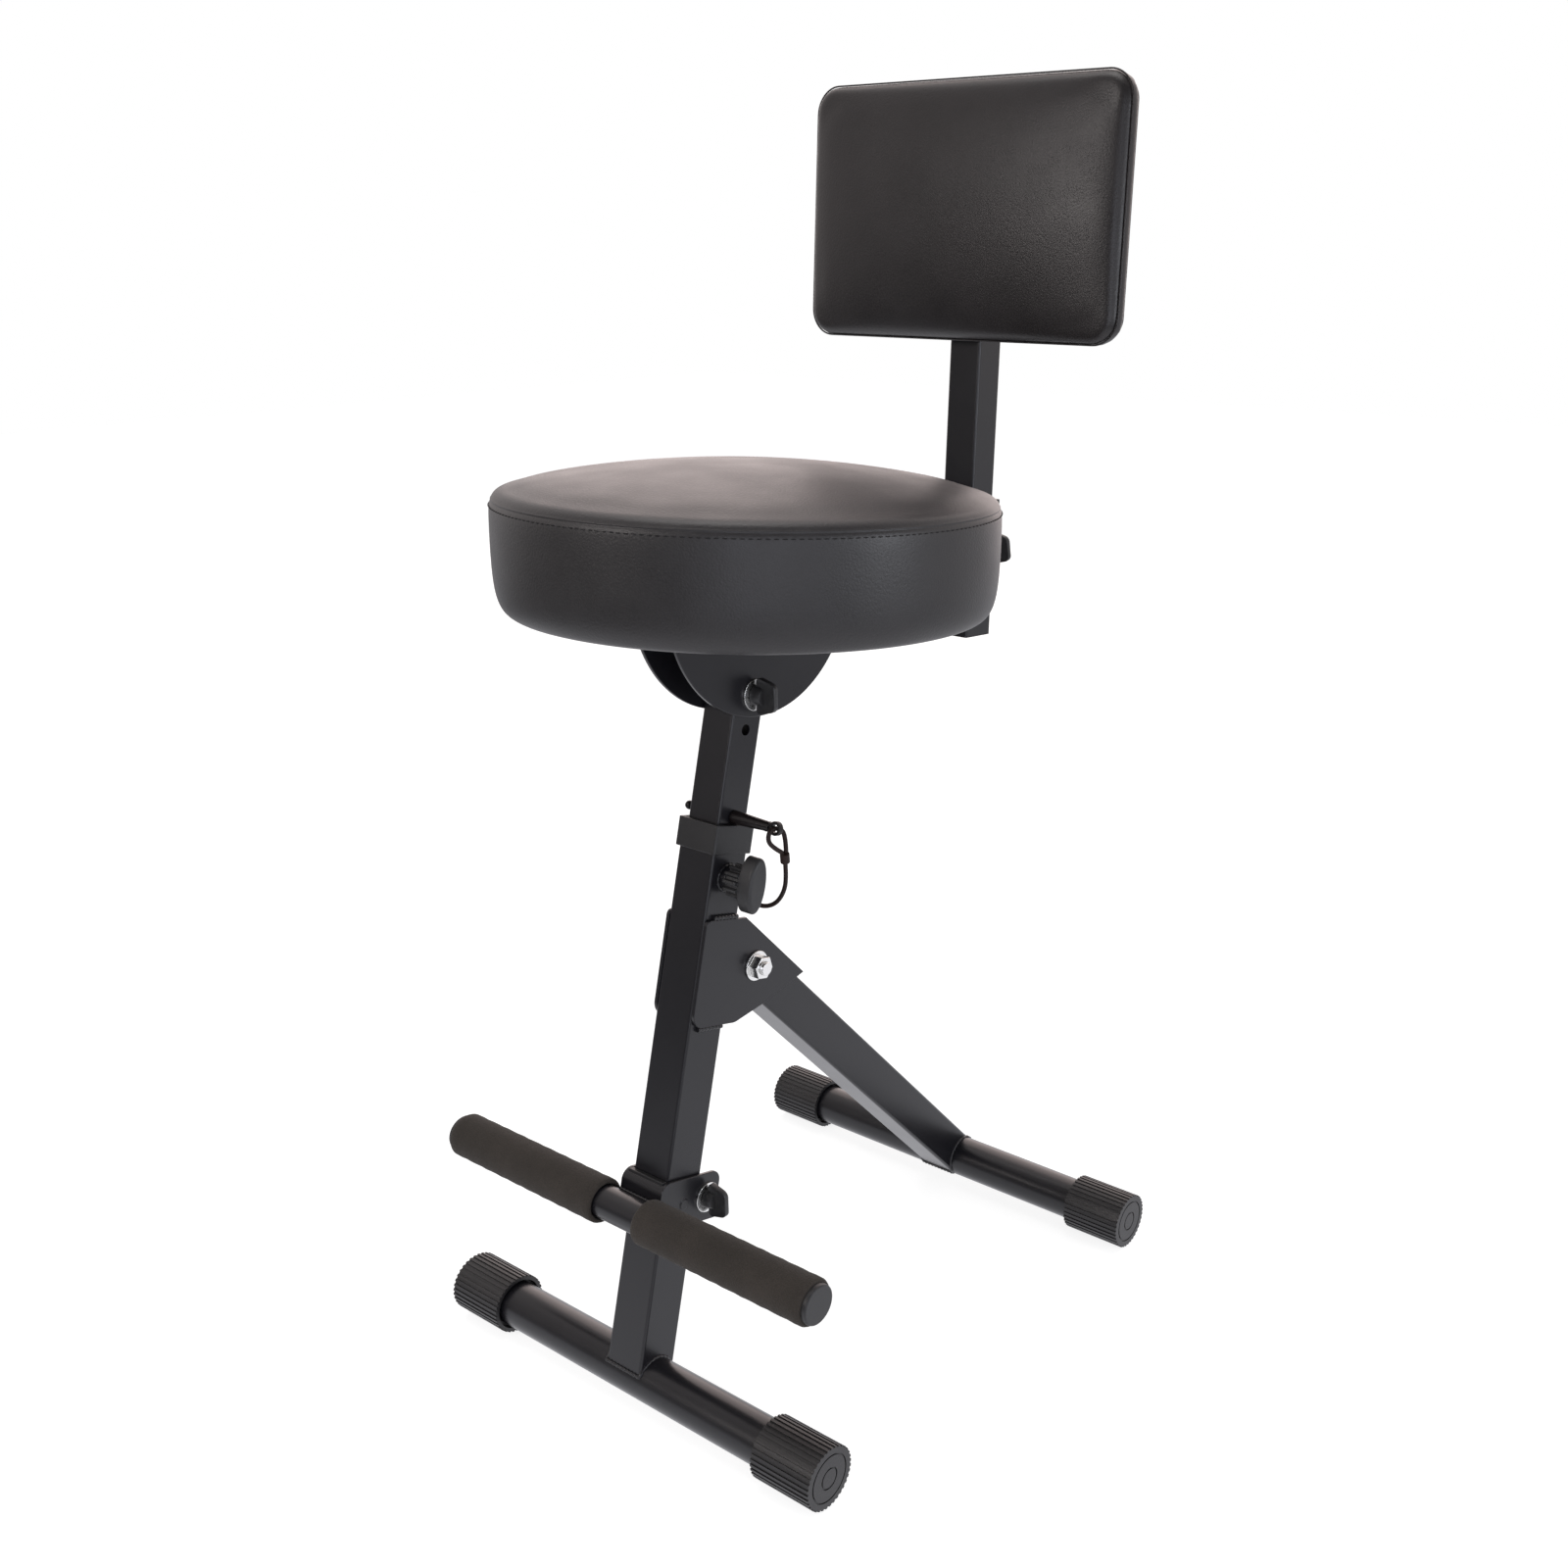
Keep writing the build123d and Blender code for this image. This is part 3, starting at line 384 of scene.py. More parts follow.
def smooth(piece: Piece, degrees: float = 35.0) -> None:
    """Shades a piece smooth, with hard edges where it turns by more than an angle."""
    pick(piece)
    bpy.ops.object.shade_smooth_by_angle(angle=math.radians(degrees))


def choose(piece: Piece, kind: str, test: Callable[[Vector], bool]) -> None:
    """Selects vertices, edges or faces by the place of their middle, and leaves edit mode on.

    Args:
        piece: The piece in edit mode.
        kind: VERT, EDGE or FACE.
        test: Says from a place in the piece's mesh whether it is chosen.
    """
    bpy.ops.mesh.select_mode(type=kind)
    bpy.ops.mesh.select_all(action="DESELECT")
    bpy.ops.object.mode_set(mode="OBJECT")
    mesh = piece.data
    if kind == "VERT":
        for vertex in mesh.vertices:
            vertex.select = test(vertex.co)
    elif kind == "EDGE":
        for edge in mesh.edges:
            first, second = (mesh.vertices[i].co for i in edge.vertices)
            edge.select = test((first + second) / 2)
    else:
        for face in mesh.polygons:
            face.select = test(face.center)
    bpy.ops.object.mode_set(mode="EDIT")


def put_in_order(piece: Piece) -> None:
    """Numbers a mesh's points and faces by their places, so that cloth made of it is the same each run.

    Args:
        piece: The piece, still without materials.
    """
    mesh = piece.data
    keys = [tuple(round(value, ORDER_DIGITS) for value in reversed(vertex.co)) for vertex in mesh.vertices]
    order = sorted(range(len(keys)), key=keys.__getitem__)
    ranks = {old: new for new, old in enumerate(order)}
    faces = []
    for face in mesh.polygons:
        corners = [ranks[index] for index in face.vertices]
        first = corners.index(min(corners))
        faces.append(corners[first:] + corners[:first])
    points = [mesh.vertices[index].co.copy() for index in order]
    mesh.clear_geometry()
    mesh.from_pydata(points, [], sorted(faces))
    mesh.update()


def turned(name: str, rings: Sequence[Ring], segments: int = 64, hollow: bool = False) -> Piece:
    """Extrudes a circle ring by ring into a turned piece about the Z axis.

    Args:
        name: The piece's name.
        rings: Radius and height of each ring, in metres.
        segments: Vertices in a ring.
        hollow: Leaves the middle open and joins the last ring to the first.

    Returns:
        The new piece.
    """
    start_fresh()
    radius, height = rings[0]
    fill = "NOTHING" if hollow else "NGON"
    bpy.ops.mesh.primitive_circle_add(vertices=segments, radius=radius, fill_type=fill, location=(0, 0, 0))
    piece = take_new(name)
    piece.data.transform(Matrix.Translation((0, 0, height)))
    bpy.ops.object.mode_set(mode="EDIT")
    bpy.ops.mesh.select_all(action="SELECT")
    for next_radius, next_height in rings[1:]:
        bpy.ops.mesh.extrude_region_move(TRANSFORM_OT_translate={"value": (0, 0, next_height - height)})
        share = next_radius / radius
        bpy.ops.transform.resize(value=(share, share, 1), center_override=(0, 0, next_height))
        radius, height = next_radius, next_height
    bpy.ops.mesh.select_all(action="SELECT")
    bpy.ops.mesh.remove_doubles(threshold=1e-6)
    bpy.ops.mesh.normals_make_consistent(inside=False)
    bpy.ops.object.mode_set(mode="OBJECT")
    put_in_order(piece)
    return piece


def cuboid(name: str, middle: Point, size: Point) -> Piece:
    """Makes a block about a middle, and leaves edit mode on.

    Args:
        name: The piece's name.
        middle: The block's middle.
        size: Its three sides.

    Returns:
        The new piece.
    """
    start_fresh()
    bpy.ops.mesh.primitive_cube_add(size=1.0, location=(0, 0, 0))
    piece = take_new(name)
    piece.data.transform(Matrix.Translation(middle) @ Matrix.Diagonal((*size, 1)))
    bpy.ops.object.mode_set(mode="EDIT")
    return piece


def add_curve(name: str, kind: str, points: Sequence[Point], radius: float) -> tuple[Piece, bpy.types.Spline]:
    """Adds a curve along points.

    Args:
        name: The piece's name.
        kind: POLY or NURBS.
        points: Places in the row frame.
        radius: The curve's radius, or 0 for a bare line.

    Returns:
        The curve and its spline.
    """
    start_fresh()
    curve = bpy.data.curves.new(name, "CURVE")
    curve.dimensions = "3D"
    curve.bevel_depth = radius
    curve.use_fill_caps = radius > 0
    spline = curve.splines.new(kind)
    spline.points.add(len(points) - 1)
    for knot, point in zip(spline.points, points):
        knot.co = (*point, 1.0)
        knot.radius = 1.0
    piece = bpy.data.objects.new(name, curve)
    bpy.context.scene.collection.objects.link(piece)
    return piece, spline


def line_piece(name: str, points: Sequence[Point], radius: float, closed: bool, ripple: float) -> Piece:
    """Makes a round bead along points.

    Args:
        name: The piece's name.
        points: Places in the row frame.
        radius: The bead's radius.
        closed: Joins the last point to the first.
        ripple: How much the bead swells and narrows along its run, as a share of its radius.

    Returns:
        The bead as a mesh.
    """
    piece, spline = add_curve(name, "POLY", points, radius)
    piece.data.bevel_resolution = BEAD_ROUNDNESS
    spline.use_cyclic_u = closed
    for step, knot in enumerate(spline.points):
        knot.radius = 1.0 + ripple * math.sin(step * RIPPLE_TURN)
    pick(piece)
    bpy.ops.object.convert(target="MESH")
    return take_new(name)


def joined(name: str, parts: Sequence[Piece]) -> Piece:
    """Joins several meshes into one named piece.

    Args:
        name: The new piece's name.
        parts: The meshes.

    Returns:
        The joined piece.
    """
    pick(parts[0])
    for part in parts[1:]:
        part.select_set(True)
    bpy.ops.object.join()
    return take_new(name)


def softened(node: str, width: float, segments: int) -> Piece:
    """Copies a CAD node, merges its triangles and rounds its sharp edges.

    Args:
        node: The CAD node.
        width: Width of the rounded edge, in metres.
        segments: Steps across it.

    Returns:
        The new piece, which stands for the node.
    """
    source = frame["nodes"][node]
    piece = source.copy()
    piece.data = source.data.copy()
    piece.name = node + "_finished"
    piece.data.name = piece.name
    piece.parent = None
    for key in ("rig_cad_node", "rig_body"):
        del piece[key]
    bpy.context.scene.collection.objects.link(piece)
    pick(piece)
    bpy.ops.object.mode_set(mode="EDIT")
    bpy.ops.mesh.select_all(action="SELECT")
    bpy.ops.mesh.remove_doubles(threshold=MERGE_REACH)
    bpy.ops.mesh.dissolve_limited(angle_limit=math.radians(FLAT_ANGLE))
    bpy.ops.object.mode_set(mode="OBJECT")
    apply_modifier(
        piece, "BEVEL", width=width, segments=segments, limit_method="ANGLE",
        angle_limit=math.radians(SHARP_ANGLE), use_clamp_overlap=False,
    )
    smooth(piece)
    apply_modifier(piece, "WEIGHTED_NORMAL", keep_sharp=True)
    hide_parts(node)
    return piece


def dress(piece: Piece, finish: Finish, body: str) -> Piece:
    """Gives a new piece its finish and its body.

    Args:
        piece: The piece, in its place.
        finish: Its finish.
        body: The CAD body that it moves with.

    Returns:
        The same piece.
    """
    piece.data.materials.clear()
    piece.data.materials.append(finish.material())
    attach(piece, body)
    LOG.info("%s rides on %s in %s", piece.name, body, finish.name)
    return piece


def dress_nodes(finish: Finish, nodes: Iterable[str]) -> None:
    """Gives CAD nodes that stay their finish.

    Args:
        finish: The finish.
        nodes: The nodes' names.
    """
    for node in nodes:
        for holder in frame["nodes"][node].material_slots:
            holder.material = finish.material()
        LOG.info("CAD node %s in %s", node, finish.name)


def along(points: Sequence[Point], step: float) -> list[Point]:
    """Places a step apart along straight runs between points.

    Args:
        points: The corners of the runs.
        step: About how far apart the places are.

    Returns:
        The places, with the last corner.
    """
    spaced: list[Point] = []
    for start, end in zip(points, points[1:]):
        run = Vector(end) - Vector(start)
        count = max(1, round(run.length / step))
        spaced.extend(tuple(Vector(start) + run * (i / count)) for i in range(count))
    spaced.append(tuple(points[-1]))
    return spaced


# Places that the CAD gives
def axes_at(origin: Vector, x: Vector, y: Vector, z: Vector) -> Matrix:
    """Matrix of a frame from its origin and its three axes."""
    rows = [(x[i], y[i], z[i], origin[i]) for i in range(3)]
    return Matrix((*rows, (0, 0, 0, 1)))


@dataclass
class Places:
    """The frames of the post, the seat, the backrest and the rear strut."""

    bolt_on_post: float = 0.541
    seat_bolt_face: float = 0.0183
    seat_slope: float = 2.97
    seat_setback: float = 0.0154
    seam_height: float = 0.1352
    socket_bolt_height: float = 0.076
    socket_bolt_face: float = 0.0233
    footrest_bolt: Point = (0.0208, 0.024, 0.162)

    def __post_init__(self) -> None:
        """Reads the joints and works out the frames."""
        joints = {joint["name"]: joint for joint in frame["joints"]}
        across = Vector((1, 0, 0))
        post_axis = Vector(joints["seat_post_slide"]["axis"])
        bolt = Vector(joints["seat_tilt"]["pos_m"])
        self.post = self.upright(bolt - post_axis * self.bolt_on_post, post_axis)
        slope = math.radians(self.seat_slope)
        seat_axis = Vector((0, math.sin(slope), math.cos(slope)))
        rearward = seat_axis.cross(across)
        seat_middle = bolt + rearward * self.seat_setback + seat_axis * self.seam_height
        self.seat = self.upright(seat_middle, seat_axis)
        back_axis = Vector(joints["backrest_slide"]["axis"])
        back_bolt = Vector(joints["backrest_wing_bolt_turn"]["pos_m"])
        self.back = self.upright(back_bolt - back_axis * self.socket_bolt_height, back_axis)
        pivot = Vector(joints["rear_leg_fold"]["pos_m"])
        low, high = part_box("rear_foot_bar")
        self.strut = self.upright(pivot, ((low + high) / 2 - pivot).normalized())

    @staticmethod
    def upright(origin: Vector, axis: Vector) -> Matrix:
        """Frame with X across the stool, Z along an axis and Y rearwards."""
        across = Vector((1, 0, 0))
        return axes_at(origin, across, axis.cross(across), axis)

    @staticmethod
    def side(base: Matrix, x: float, depth: float, height: float) -> Matrix:
        """Frame on a side of a base frame, with its Z across the stool.

        Args:
            base: The base frame.
            x: How far across the new frame's origin lies in it.
            depth: How far to the rear.
            height: How far up.

        Returns:
            The new frame.
        """
        origin = base @ Vector((x, depth, height))
        columns = [base.col[i].to_3d() for i in range(3)]
        return axes_at(origin, columns[1], columns[2], columns[0])


# Studio
@dataclass(frozen=True)
class Lamp:
    """A square soft lamp: where it stands, its side in metres, its power in watts and its colour."""

    name: str
    place: Point
    side: float
    power: float
    colour: Point

    def add(self, target: Vector) -> None:
        """Adds the lamp to the scene, turned towards a target.

        Args:
            target: Where it shines.
        """
        data = bpy.data.lights.new(self.name, "AREA")
        data.shape = "SQUARE"
        data.size = self.side
        data.energy = self.power
        data.color = self.colour
        lamp = bpy.data.objects.new(self.name, data)
        bpy.context.scene.collection.objects.link(lamp)
        lamp.location = self.place
        lamp.rotation_mode = "QUATERNION"
        lamp.rotation_quaternion = (target - Vector(self.place)).to_track_quat("-Z", "Y")
        lamp.visible_camera = False


@dataclass
class Studio:
    """Camera, floor, surround and lamps."""

    camera_place: Point = (0.79925, -0.90429, 0.83198)
    azimuth: float = 36.55
    elevation: float = 18.0
    sensor: float = 36.0
    lens: float = 37.49
    shift: Pair = (-0.1045, -0.0092)
    clip: Pair = (0.05, 50.0)
    aim: Point = (0.0, 0.0, 0.62)
    floor_size: float = 14.0
    floor_drop: float = 0.0002
    floor_white: float = 0.8
    floor_shade: float = 0.32
    floor_glow: float = 0.82
    floor_mirror: float = 1.15
    floor_tint: Point = (0.95, 0.95, 1.0)
    mirror_reach: Pair = (0.9, 1.9)
    behind_way: Point = (-0.35, 0.94, 0.0)
    behind_span: Pair = (-0.2, 1.6)
    behind_mirror: float = 0.8
    camera_side: float = 0.12
    room_way: Point = (-0.6, 0.8, 0.1)
    room_span: Pair = (-0.5, 0.45)
    room_mirror: float = 1.0
    room_fill: float = 0.6
    room_tint: Point = (1.0, 0.93, 0.92)
    lamps: tuple[Lamp, ...] = (
        Lamp("front_box", (-0.75, -2.6, 1.6), 0.9, 22.0, (1.0, 0.94, 0.92)),
        Lamp("camera_box", (1.7, -1.9, 0.75), 1.2, 12.0, (0.88, 0.9, 1.0)),
        Lamp("right_box", (2.3, -0.95, 0.75), 1.0, 6.0, (0.88, 0.91, 1.0)),
        Lamp("side_box", (2.7, 0.5, 0.75), 1.0, 20.0, (0.9, 0.93, 1.0)),
        Lamp("back_box", (-1.3, 2.55, 1.6), 3.6, 62.0, (1.0, 0.82, 0.78)),
        Lamp("top_box", (-0.2, -0.2, 3.0), 1.6, 24.0, (1.0, 0.98, 0.97)),
    )

    def add_camera(self) -> None:
        """Adds the camera at the photograph's place."""
        data = bpy.data.cameras.new("camera")
        data.sensor_width = self.sensor
        data.lens = self.lens
        data.shift_x, data.shift_y = self.shift
        data.clip_start, data.clip_end = self.clip
        camera = bpy.data.objects.new("camera", data)
        bpy.context.scene.collection.objects.link(camera)
        turn, rise = math.radians(self.azimuth), math.radians(self.elevation)
        back = Vector((math.sin(turn) * math.cos(rise), -math.cos(turn) * math.cos(rise), math.sin(rise)))
        camera.location = self.camera_place
        camera.rotation_mode = "QUATERNION"
        camera.rotation_quaternion = (-back).to_track_quat("-Z", "Y")
        bpy.context.scene.camera = camera

    def add_floor(self) -> None:
        """Adds the white floor, which keeps the stool's shadow and shows in reflections as a fading glow."""
        start_fresh()
        bpy.ops.mesh.primitive_plane_add(size=self.floor_size, location=(0, 0, 0))
        floor = take_new("floor")
        floor.data.transform(Matrix.Translation((0, 0, -self.floor_drop)))
        paper = bpy.data.materials.new("white_paper")
        paper.use_nodes = True
        tree = paper.node_tree
        tree.nodes.remove(tree.nodes["Principled BSDF"])
        shaded = self.diffuse(tree, self.floor_shade)
        glow = add_node(tree, "Emission", {"Strength": self.floor_glow})
        both = add_node(tree, "AddShader", {0: shaded.outputs[0], 1: glow.outputs[0]})
        mirror = {"Color": (*self.floor_tint, 1), "Strength": self.floor_reflection(tree)}
        mirrored = add_node(tree, "Emission", mirror)
        glossy = add_node(tree, "LightPath", {}).outputs["Is Glossy Ray"]
        lit = self.mixed(tree, self.seen(tree), self.diffuse(tree, self.floor_white), both)
        mix = self.mixed(tree, glossy, lit, mirrored)
        tree.links.new(mix.outputs[0], tree.nodes["Material Output"].inputs["Surface"])
        floor.data.materials.append(paper)

    def floor_reflection(self, tree: Tree) -> Socket:
        """Adds the strength of the floor in reflections: it fades away from the stool, but less behind it.

        Args:
            tree: The floor's node tree.

        Returns:
            The socket with the strength.
        """
        reach = add_node(tree, "VectorMath", {0: add_place(tree, "Object")}, operation="LENGTH")
        ends = (self.floor_mirror, self.camera_side)
        fade = add_range(tree, reach.outputs["Value"], self.mirror_reach, ends, "SMOOTHSTEP")
        behind = self.sweep(tree, "Object", self.behind_way, self.behind_span, self.behind_mirror)
        return add_math(tree, "MAXIMUM", fade, behind)

    def sweep(self, tree: Tree, place: str, way: Point, span: Pair, top: float) -> Socket:
        """Adds a value that rises in one direction.

        Args:
            tree: The material's or the world's node tree.
            place: The texture coordinate that is measured.
            way: The direction.
            span: How far along it the rise starts and ends.
            top: The value at its end.

        Returns:
            The socket with the value.
        """
        towards = add_node(tree, "VectorMath", {0: add_place(tree, place), 1: way}, operation="DOT_PRODUCT")
        return add_range(tree, towards.outputs["Value"], span, (self.camera_side, top), "SMOOTHSTEP")

    @staticmethod
    def diffuse(tree: Tree, grey: float) -> Node:
        """Adds a grey diffuse shader."""
        return add_node(tree, "BsdfDiffuse", {"Color": (grey, grey, grey, 1)})

    @staticmethod
    def mixed(tree: Tree, share: Socket, first: Node, second: Node) -> Node:
        """Adds a mix of two shaders."""
        return add_node(tree, "MixShader", {"Fac": share, 1: first.outputs[0], 2: second.outputs[0]})

    @staticmethod
    def seen(tree: Tree) -> Socket:
        """Adds a socket that is 1 for camera and transmission rays."""
        path = add_node(tree, "LightPath", {})
        return add_math(tree, "MAXIMUM", path.outputs["Is Camera Ray"], path.outputs["Is Transmission Ray"])

    def add_world(self) -> None:
        """Adds a white surround. In reflections it is warmer, and dimmer on the camera's side."""
        world = bpy.data.worlds.new("surround")
        bpy.context.scene.world = world
        world.use_nodes = True
        tree = world.node_tree
        background = tree.nodes["Background"]
        glossy = add_node(tree, "LightPath", {}).outputs["Is Glossy Ray"]
        colours = {6: (1, 1, 1, 1), 7: (*self.room_tint, 1)}
        tint = add_node(tree, "Mix", {0: glossy, **colours}, data_type="RGBA")
        tree.links.new(tint.outputs[2], background.inputs["Color"])
        bright = self.sweep(tree, "Generated", self.room_way, self.room_span, self.room_mirror)
        mirrored = add_math(tree, "MULTIPLY", glossy, bright)
        filled = add_math(tree, "MULTIPLY", add_math(tree, "SUBTRACT", glossy, 1.0), -self.room_fill)
        strength = add_math(tree, "MAXIMUM", add_math(tree, "ADD", mirrored, filled), self.seen(tree))
        tree.links.new(strength, background.inputs["Strength"])

    def build(self) -> None:
        """Builds the whole studio."""
        bpy.context.scene.view_settings.view_transform = "Standard"
        self.add_camera()
        self.add_floor()
        self.add_world()
        for lamp in self.lamps:
            lamp.add(Vector(self.aim))


# Lanyard
@dataclass
class Lanyard:
    """The cord that ties the locking pin to the post: a loop at the pin's eye, a ferrule and a free run."""

    diameter: float = 0.0034
    route_steps: int = 16
    roundness: int = 5
    order: int = 3
    ferrule_edge: float = 0.0008
    ferrule_steps: int = 3
    loop: tuple[Point, ...] = (
        (0.0576, 0.0132, 0.4342), (0.0582, 0.0100, 0.4435), (0.0570, 0.0060, 0.4513),
        (0.0562, -0.0060, 0.4513), (0.0558, -0.0065, 0.4420), (0.0564, 0.0026, 0.4364),
        (0.0567, 0.0093, 0.4339),
    )
    run: tuple[Point, ...] = (
        (0.0564, 0.0154, 0.4262), (0.0545, 0.0215, 0.4140), (0.0495, 0.0270, 0.4020),
        (0.0410, 0.0305, 0.3915), (0.0310, 0.0300, 0.3865), (0.0234, 0.0240, 0.3885),
        (0.0208, 0.0165, 0.3960), (0.0208, 0.0076, 0.4019),
    )

    def spline(self, name: str, points: Sequence[Vector], radius: float) -> Piece:
        """Makes a smooth curve through the route's points.

        Args:
            name: The piece's name.
            points: The route in the row frame.
            radius: The cord's radius, or 0 for its centreline.

        Returns:
            The curve.
        """
        piece, line = add_curve(name, "NURBS", points, radius)
        piece.data.resolution_u = self.route_steps
        piece.data.bevel_resolution = self.roundness
        line.order_u = self.order
        line.use_endpoint_u = True
        return piece

    def tube(self, name: str, points: Sequence[Vector]) -> tuple[Piece, list[Point]]:
        """Makes the cord along a route.

        Args:
            name: The piece's name.
            points: The route in the row frame.

        Returns:
            The cord as a mesh, and the points of its centreline.
        """
        bare = self.spline(name + "_line", points, 0.0)
        line = bpy.data.meshes.new_from_object(bare)
        path = [tuple(vertex.co) for vertex in line.vertices]
        bpy.data.objects.remove(bare)
        piece = self.spline(name, points, self.diameter / 2)
        pick(piece)
        bpy.ops.object.convert(target="MESH")
        piece = take_new(name)
        smooth(piece)
        return piece, path

    def build(self, places: Places) -> None:
        """Builds the ferrule, the loop on the pin and the free run between the post and the pin.

        Args:
            places: The frames of the stool's parts.
        """
        crimp = softened("lanyard_ferrule", self.ferrule_edge, self.ferrule_steps)
        ferrule = dress(crimp, SHEATH, "pin")
        loop_points = [places.post @ Vector(point) for point in self.loop]
        run_points = [places.post @ Vector(point) for point in reversed(self.run)]
        for name, points in (("lanyard_loop", loop_points), ("lanyard_run", run_points)):
            piece, path = self.tube(name, points)
            piece.data.materials.clear()
            piece.data.materials.append(SHEATH.material())
            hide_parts("pin_lanyard")
            length = sum((Vector(b) - Vector(a)).length for a, b in zip(path, path[1:]))
            if name == "lanyard_loop":
                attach(piece, "pin")
            else:
                tuple(run_points[0])
                tuple(run_points[-1])
                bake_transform(piece)
            LOG.info("%s is %.1f mm long", name, length * 1000)


# Cushions
def even_out(piece: Piece, moves: list[Vector], rounds: int) -> list[Vector]:
    """Averages each point's move with its neighbours', so that the cover swells without small folds.

    Args:
        piece: The piece whose edges join the points.
        moves: How far each point moved.
        rounds: How many times the moves are averaged.

    Returns:
        The evened moves.
    """
    pairs = [tuple(edge.vertices) for edge in piece.data.edges]
    for _ in range(rounds):
        sums = [move.copy() for move in moves]
        counts = [1] * len(moves)
        for first, second in pairs:
            sums[first] += moves[second]
            sums[second] += moves[first]
            counts[first] += 1
            counts[second] += 1
        moves = [total / count for total, count in zip(sums, counts)]
    return moves


@dataclass(frozen=True)
class Filling:
    """How a cushion's filling pushes its cover outwards, as cloth."""

    pressure: float = 4.0
    mass: float = 0.3
    stiffness: float = 15.0
    bending: float = 2.0
    quality: int = 5
    frames: int = 20
    rounds: int = 14
    sharpness: int = 6

    def swell(self, piece: Piece, held: Callable[[Vector], bool], cap: float) -> None:
        """Lets a cover swell over its filling, with part of it held.

        Args:
            piece: The cushion in its own frame.
            held: Says from a place whether the cover is fixed there.
            cap: The furthest that a point may move.
        """
        pick(piece)
        fixed = [held(v.co) for v in piece.data.vertices]
        group = piece.vertex_groups.new(name="held")
        group.add([i for i, tied in enumerate(fixed) if tied], 1.0, "REPLACE")
        rest = [v.co.copy() for v in piece.data.vertices]
        cloth = piece.modifiers.new("Cloth", "CLOTH")
        settings = {
            "quality": self.quality, "mass": self.mass, "tension_stiffness": self.stiffness,
            "compression_stiffness": self.stiffness, "bending_stiffness": self.bending,
            "use_pressure": True, "uniform_pressure_force": self.pressure, "vertex_group_mass": "held",
        }
        for name, value in settings.items():
            setattr(cloth.settings, name, value)
        cloth.settings.effector_weights.gravity = 0.0
        cloth.point_cache.frame_start = 1
        cloth.point_cache.frame_end = self.frames
        for number in range(1, self.frames + 1):
            bpy.context.scene.frame_set(number)
        bpy.ops.object.modifier_apply(modifier=cloth.name)
        moves = even_out(piece, [v.co - start for v, start in zip(piece.data.vertices, rest)], self.rounds)
        for vertex, start, move, tied in zip(piece.data.vertices, rest, moves, fixed):
            share = (1.0 + (move.length / cap) ** self.sharpness) ** (-1 / self.sharpness)
            vertex.co = start if tied else start + move * share
        piece.vertex_groups.clear()
        bpy.context.scene.frame_set(1)
        furthest = max(move.length for move in moves)
        LOG.info("%s swelled by up to %.1f mm, capped at %.1f mm", piece.name, furthest * 1000, cap * 1000)


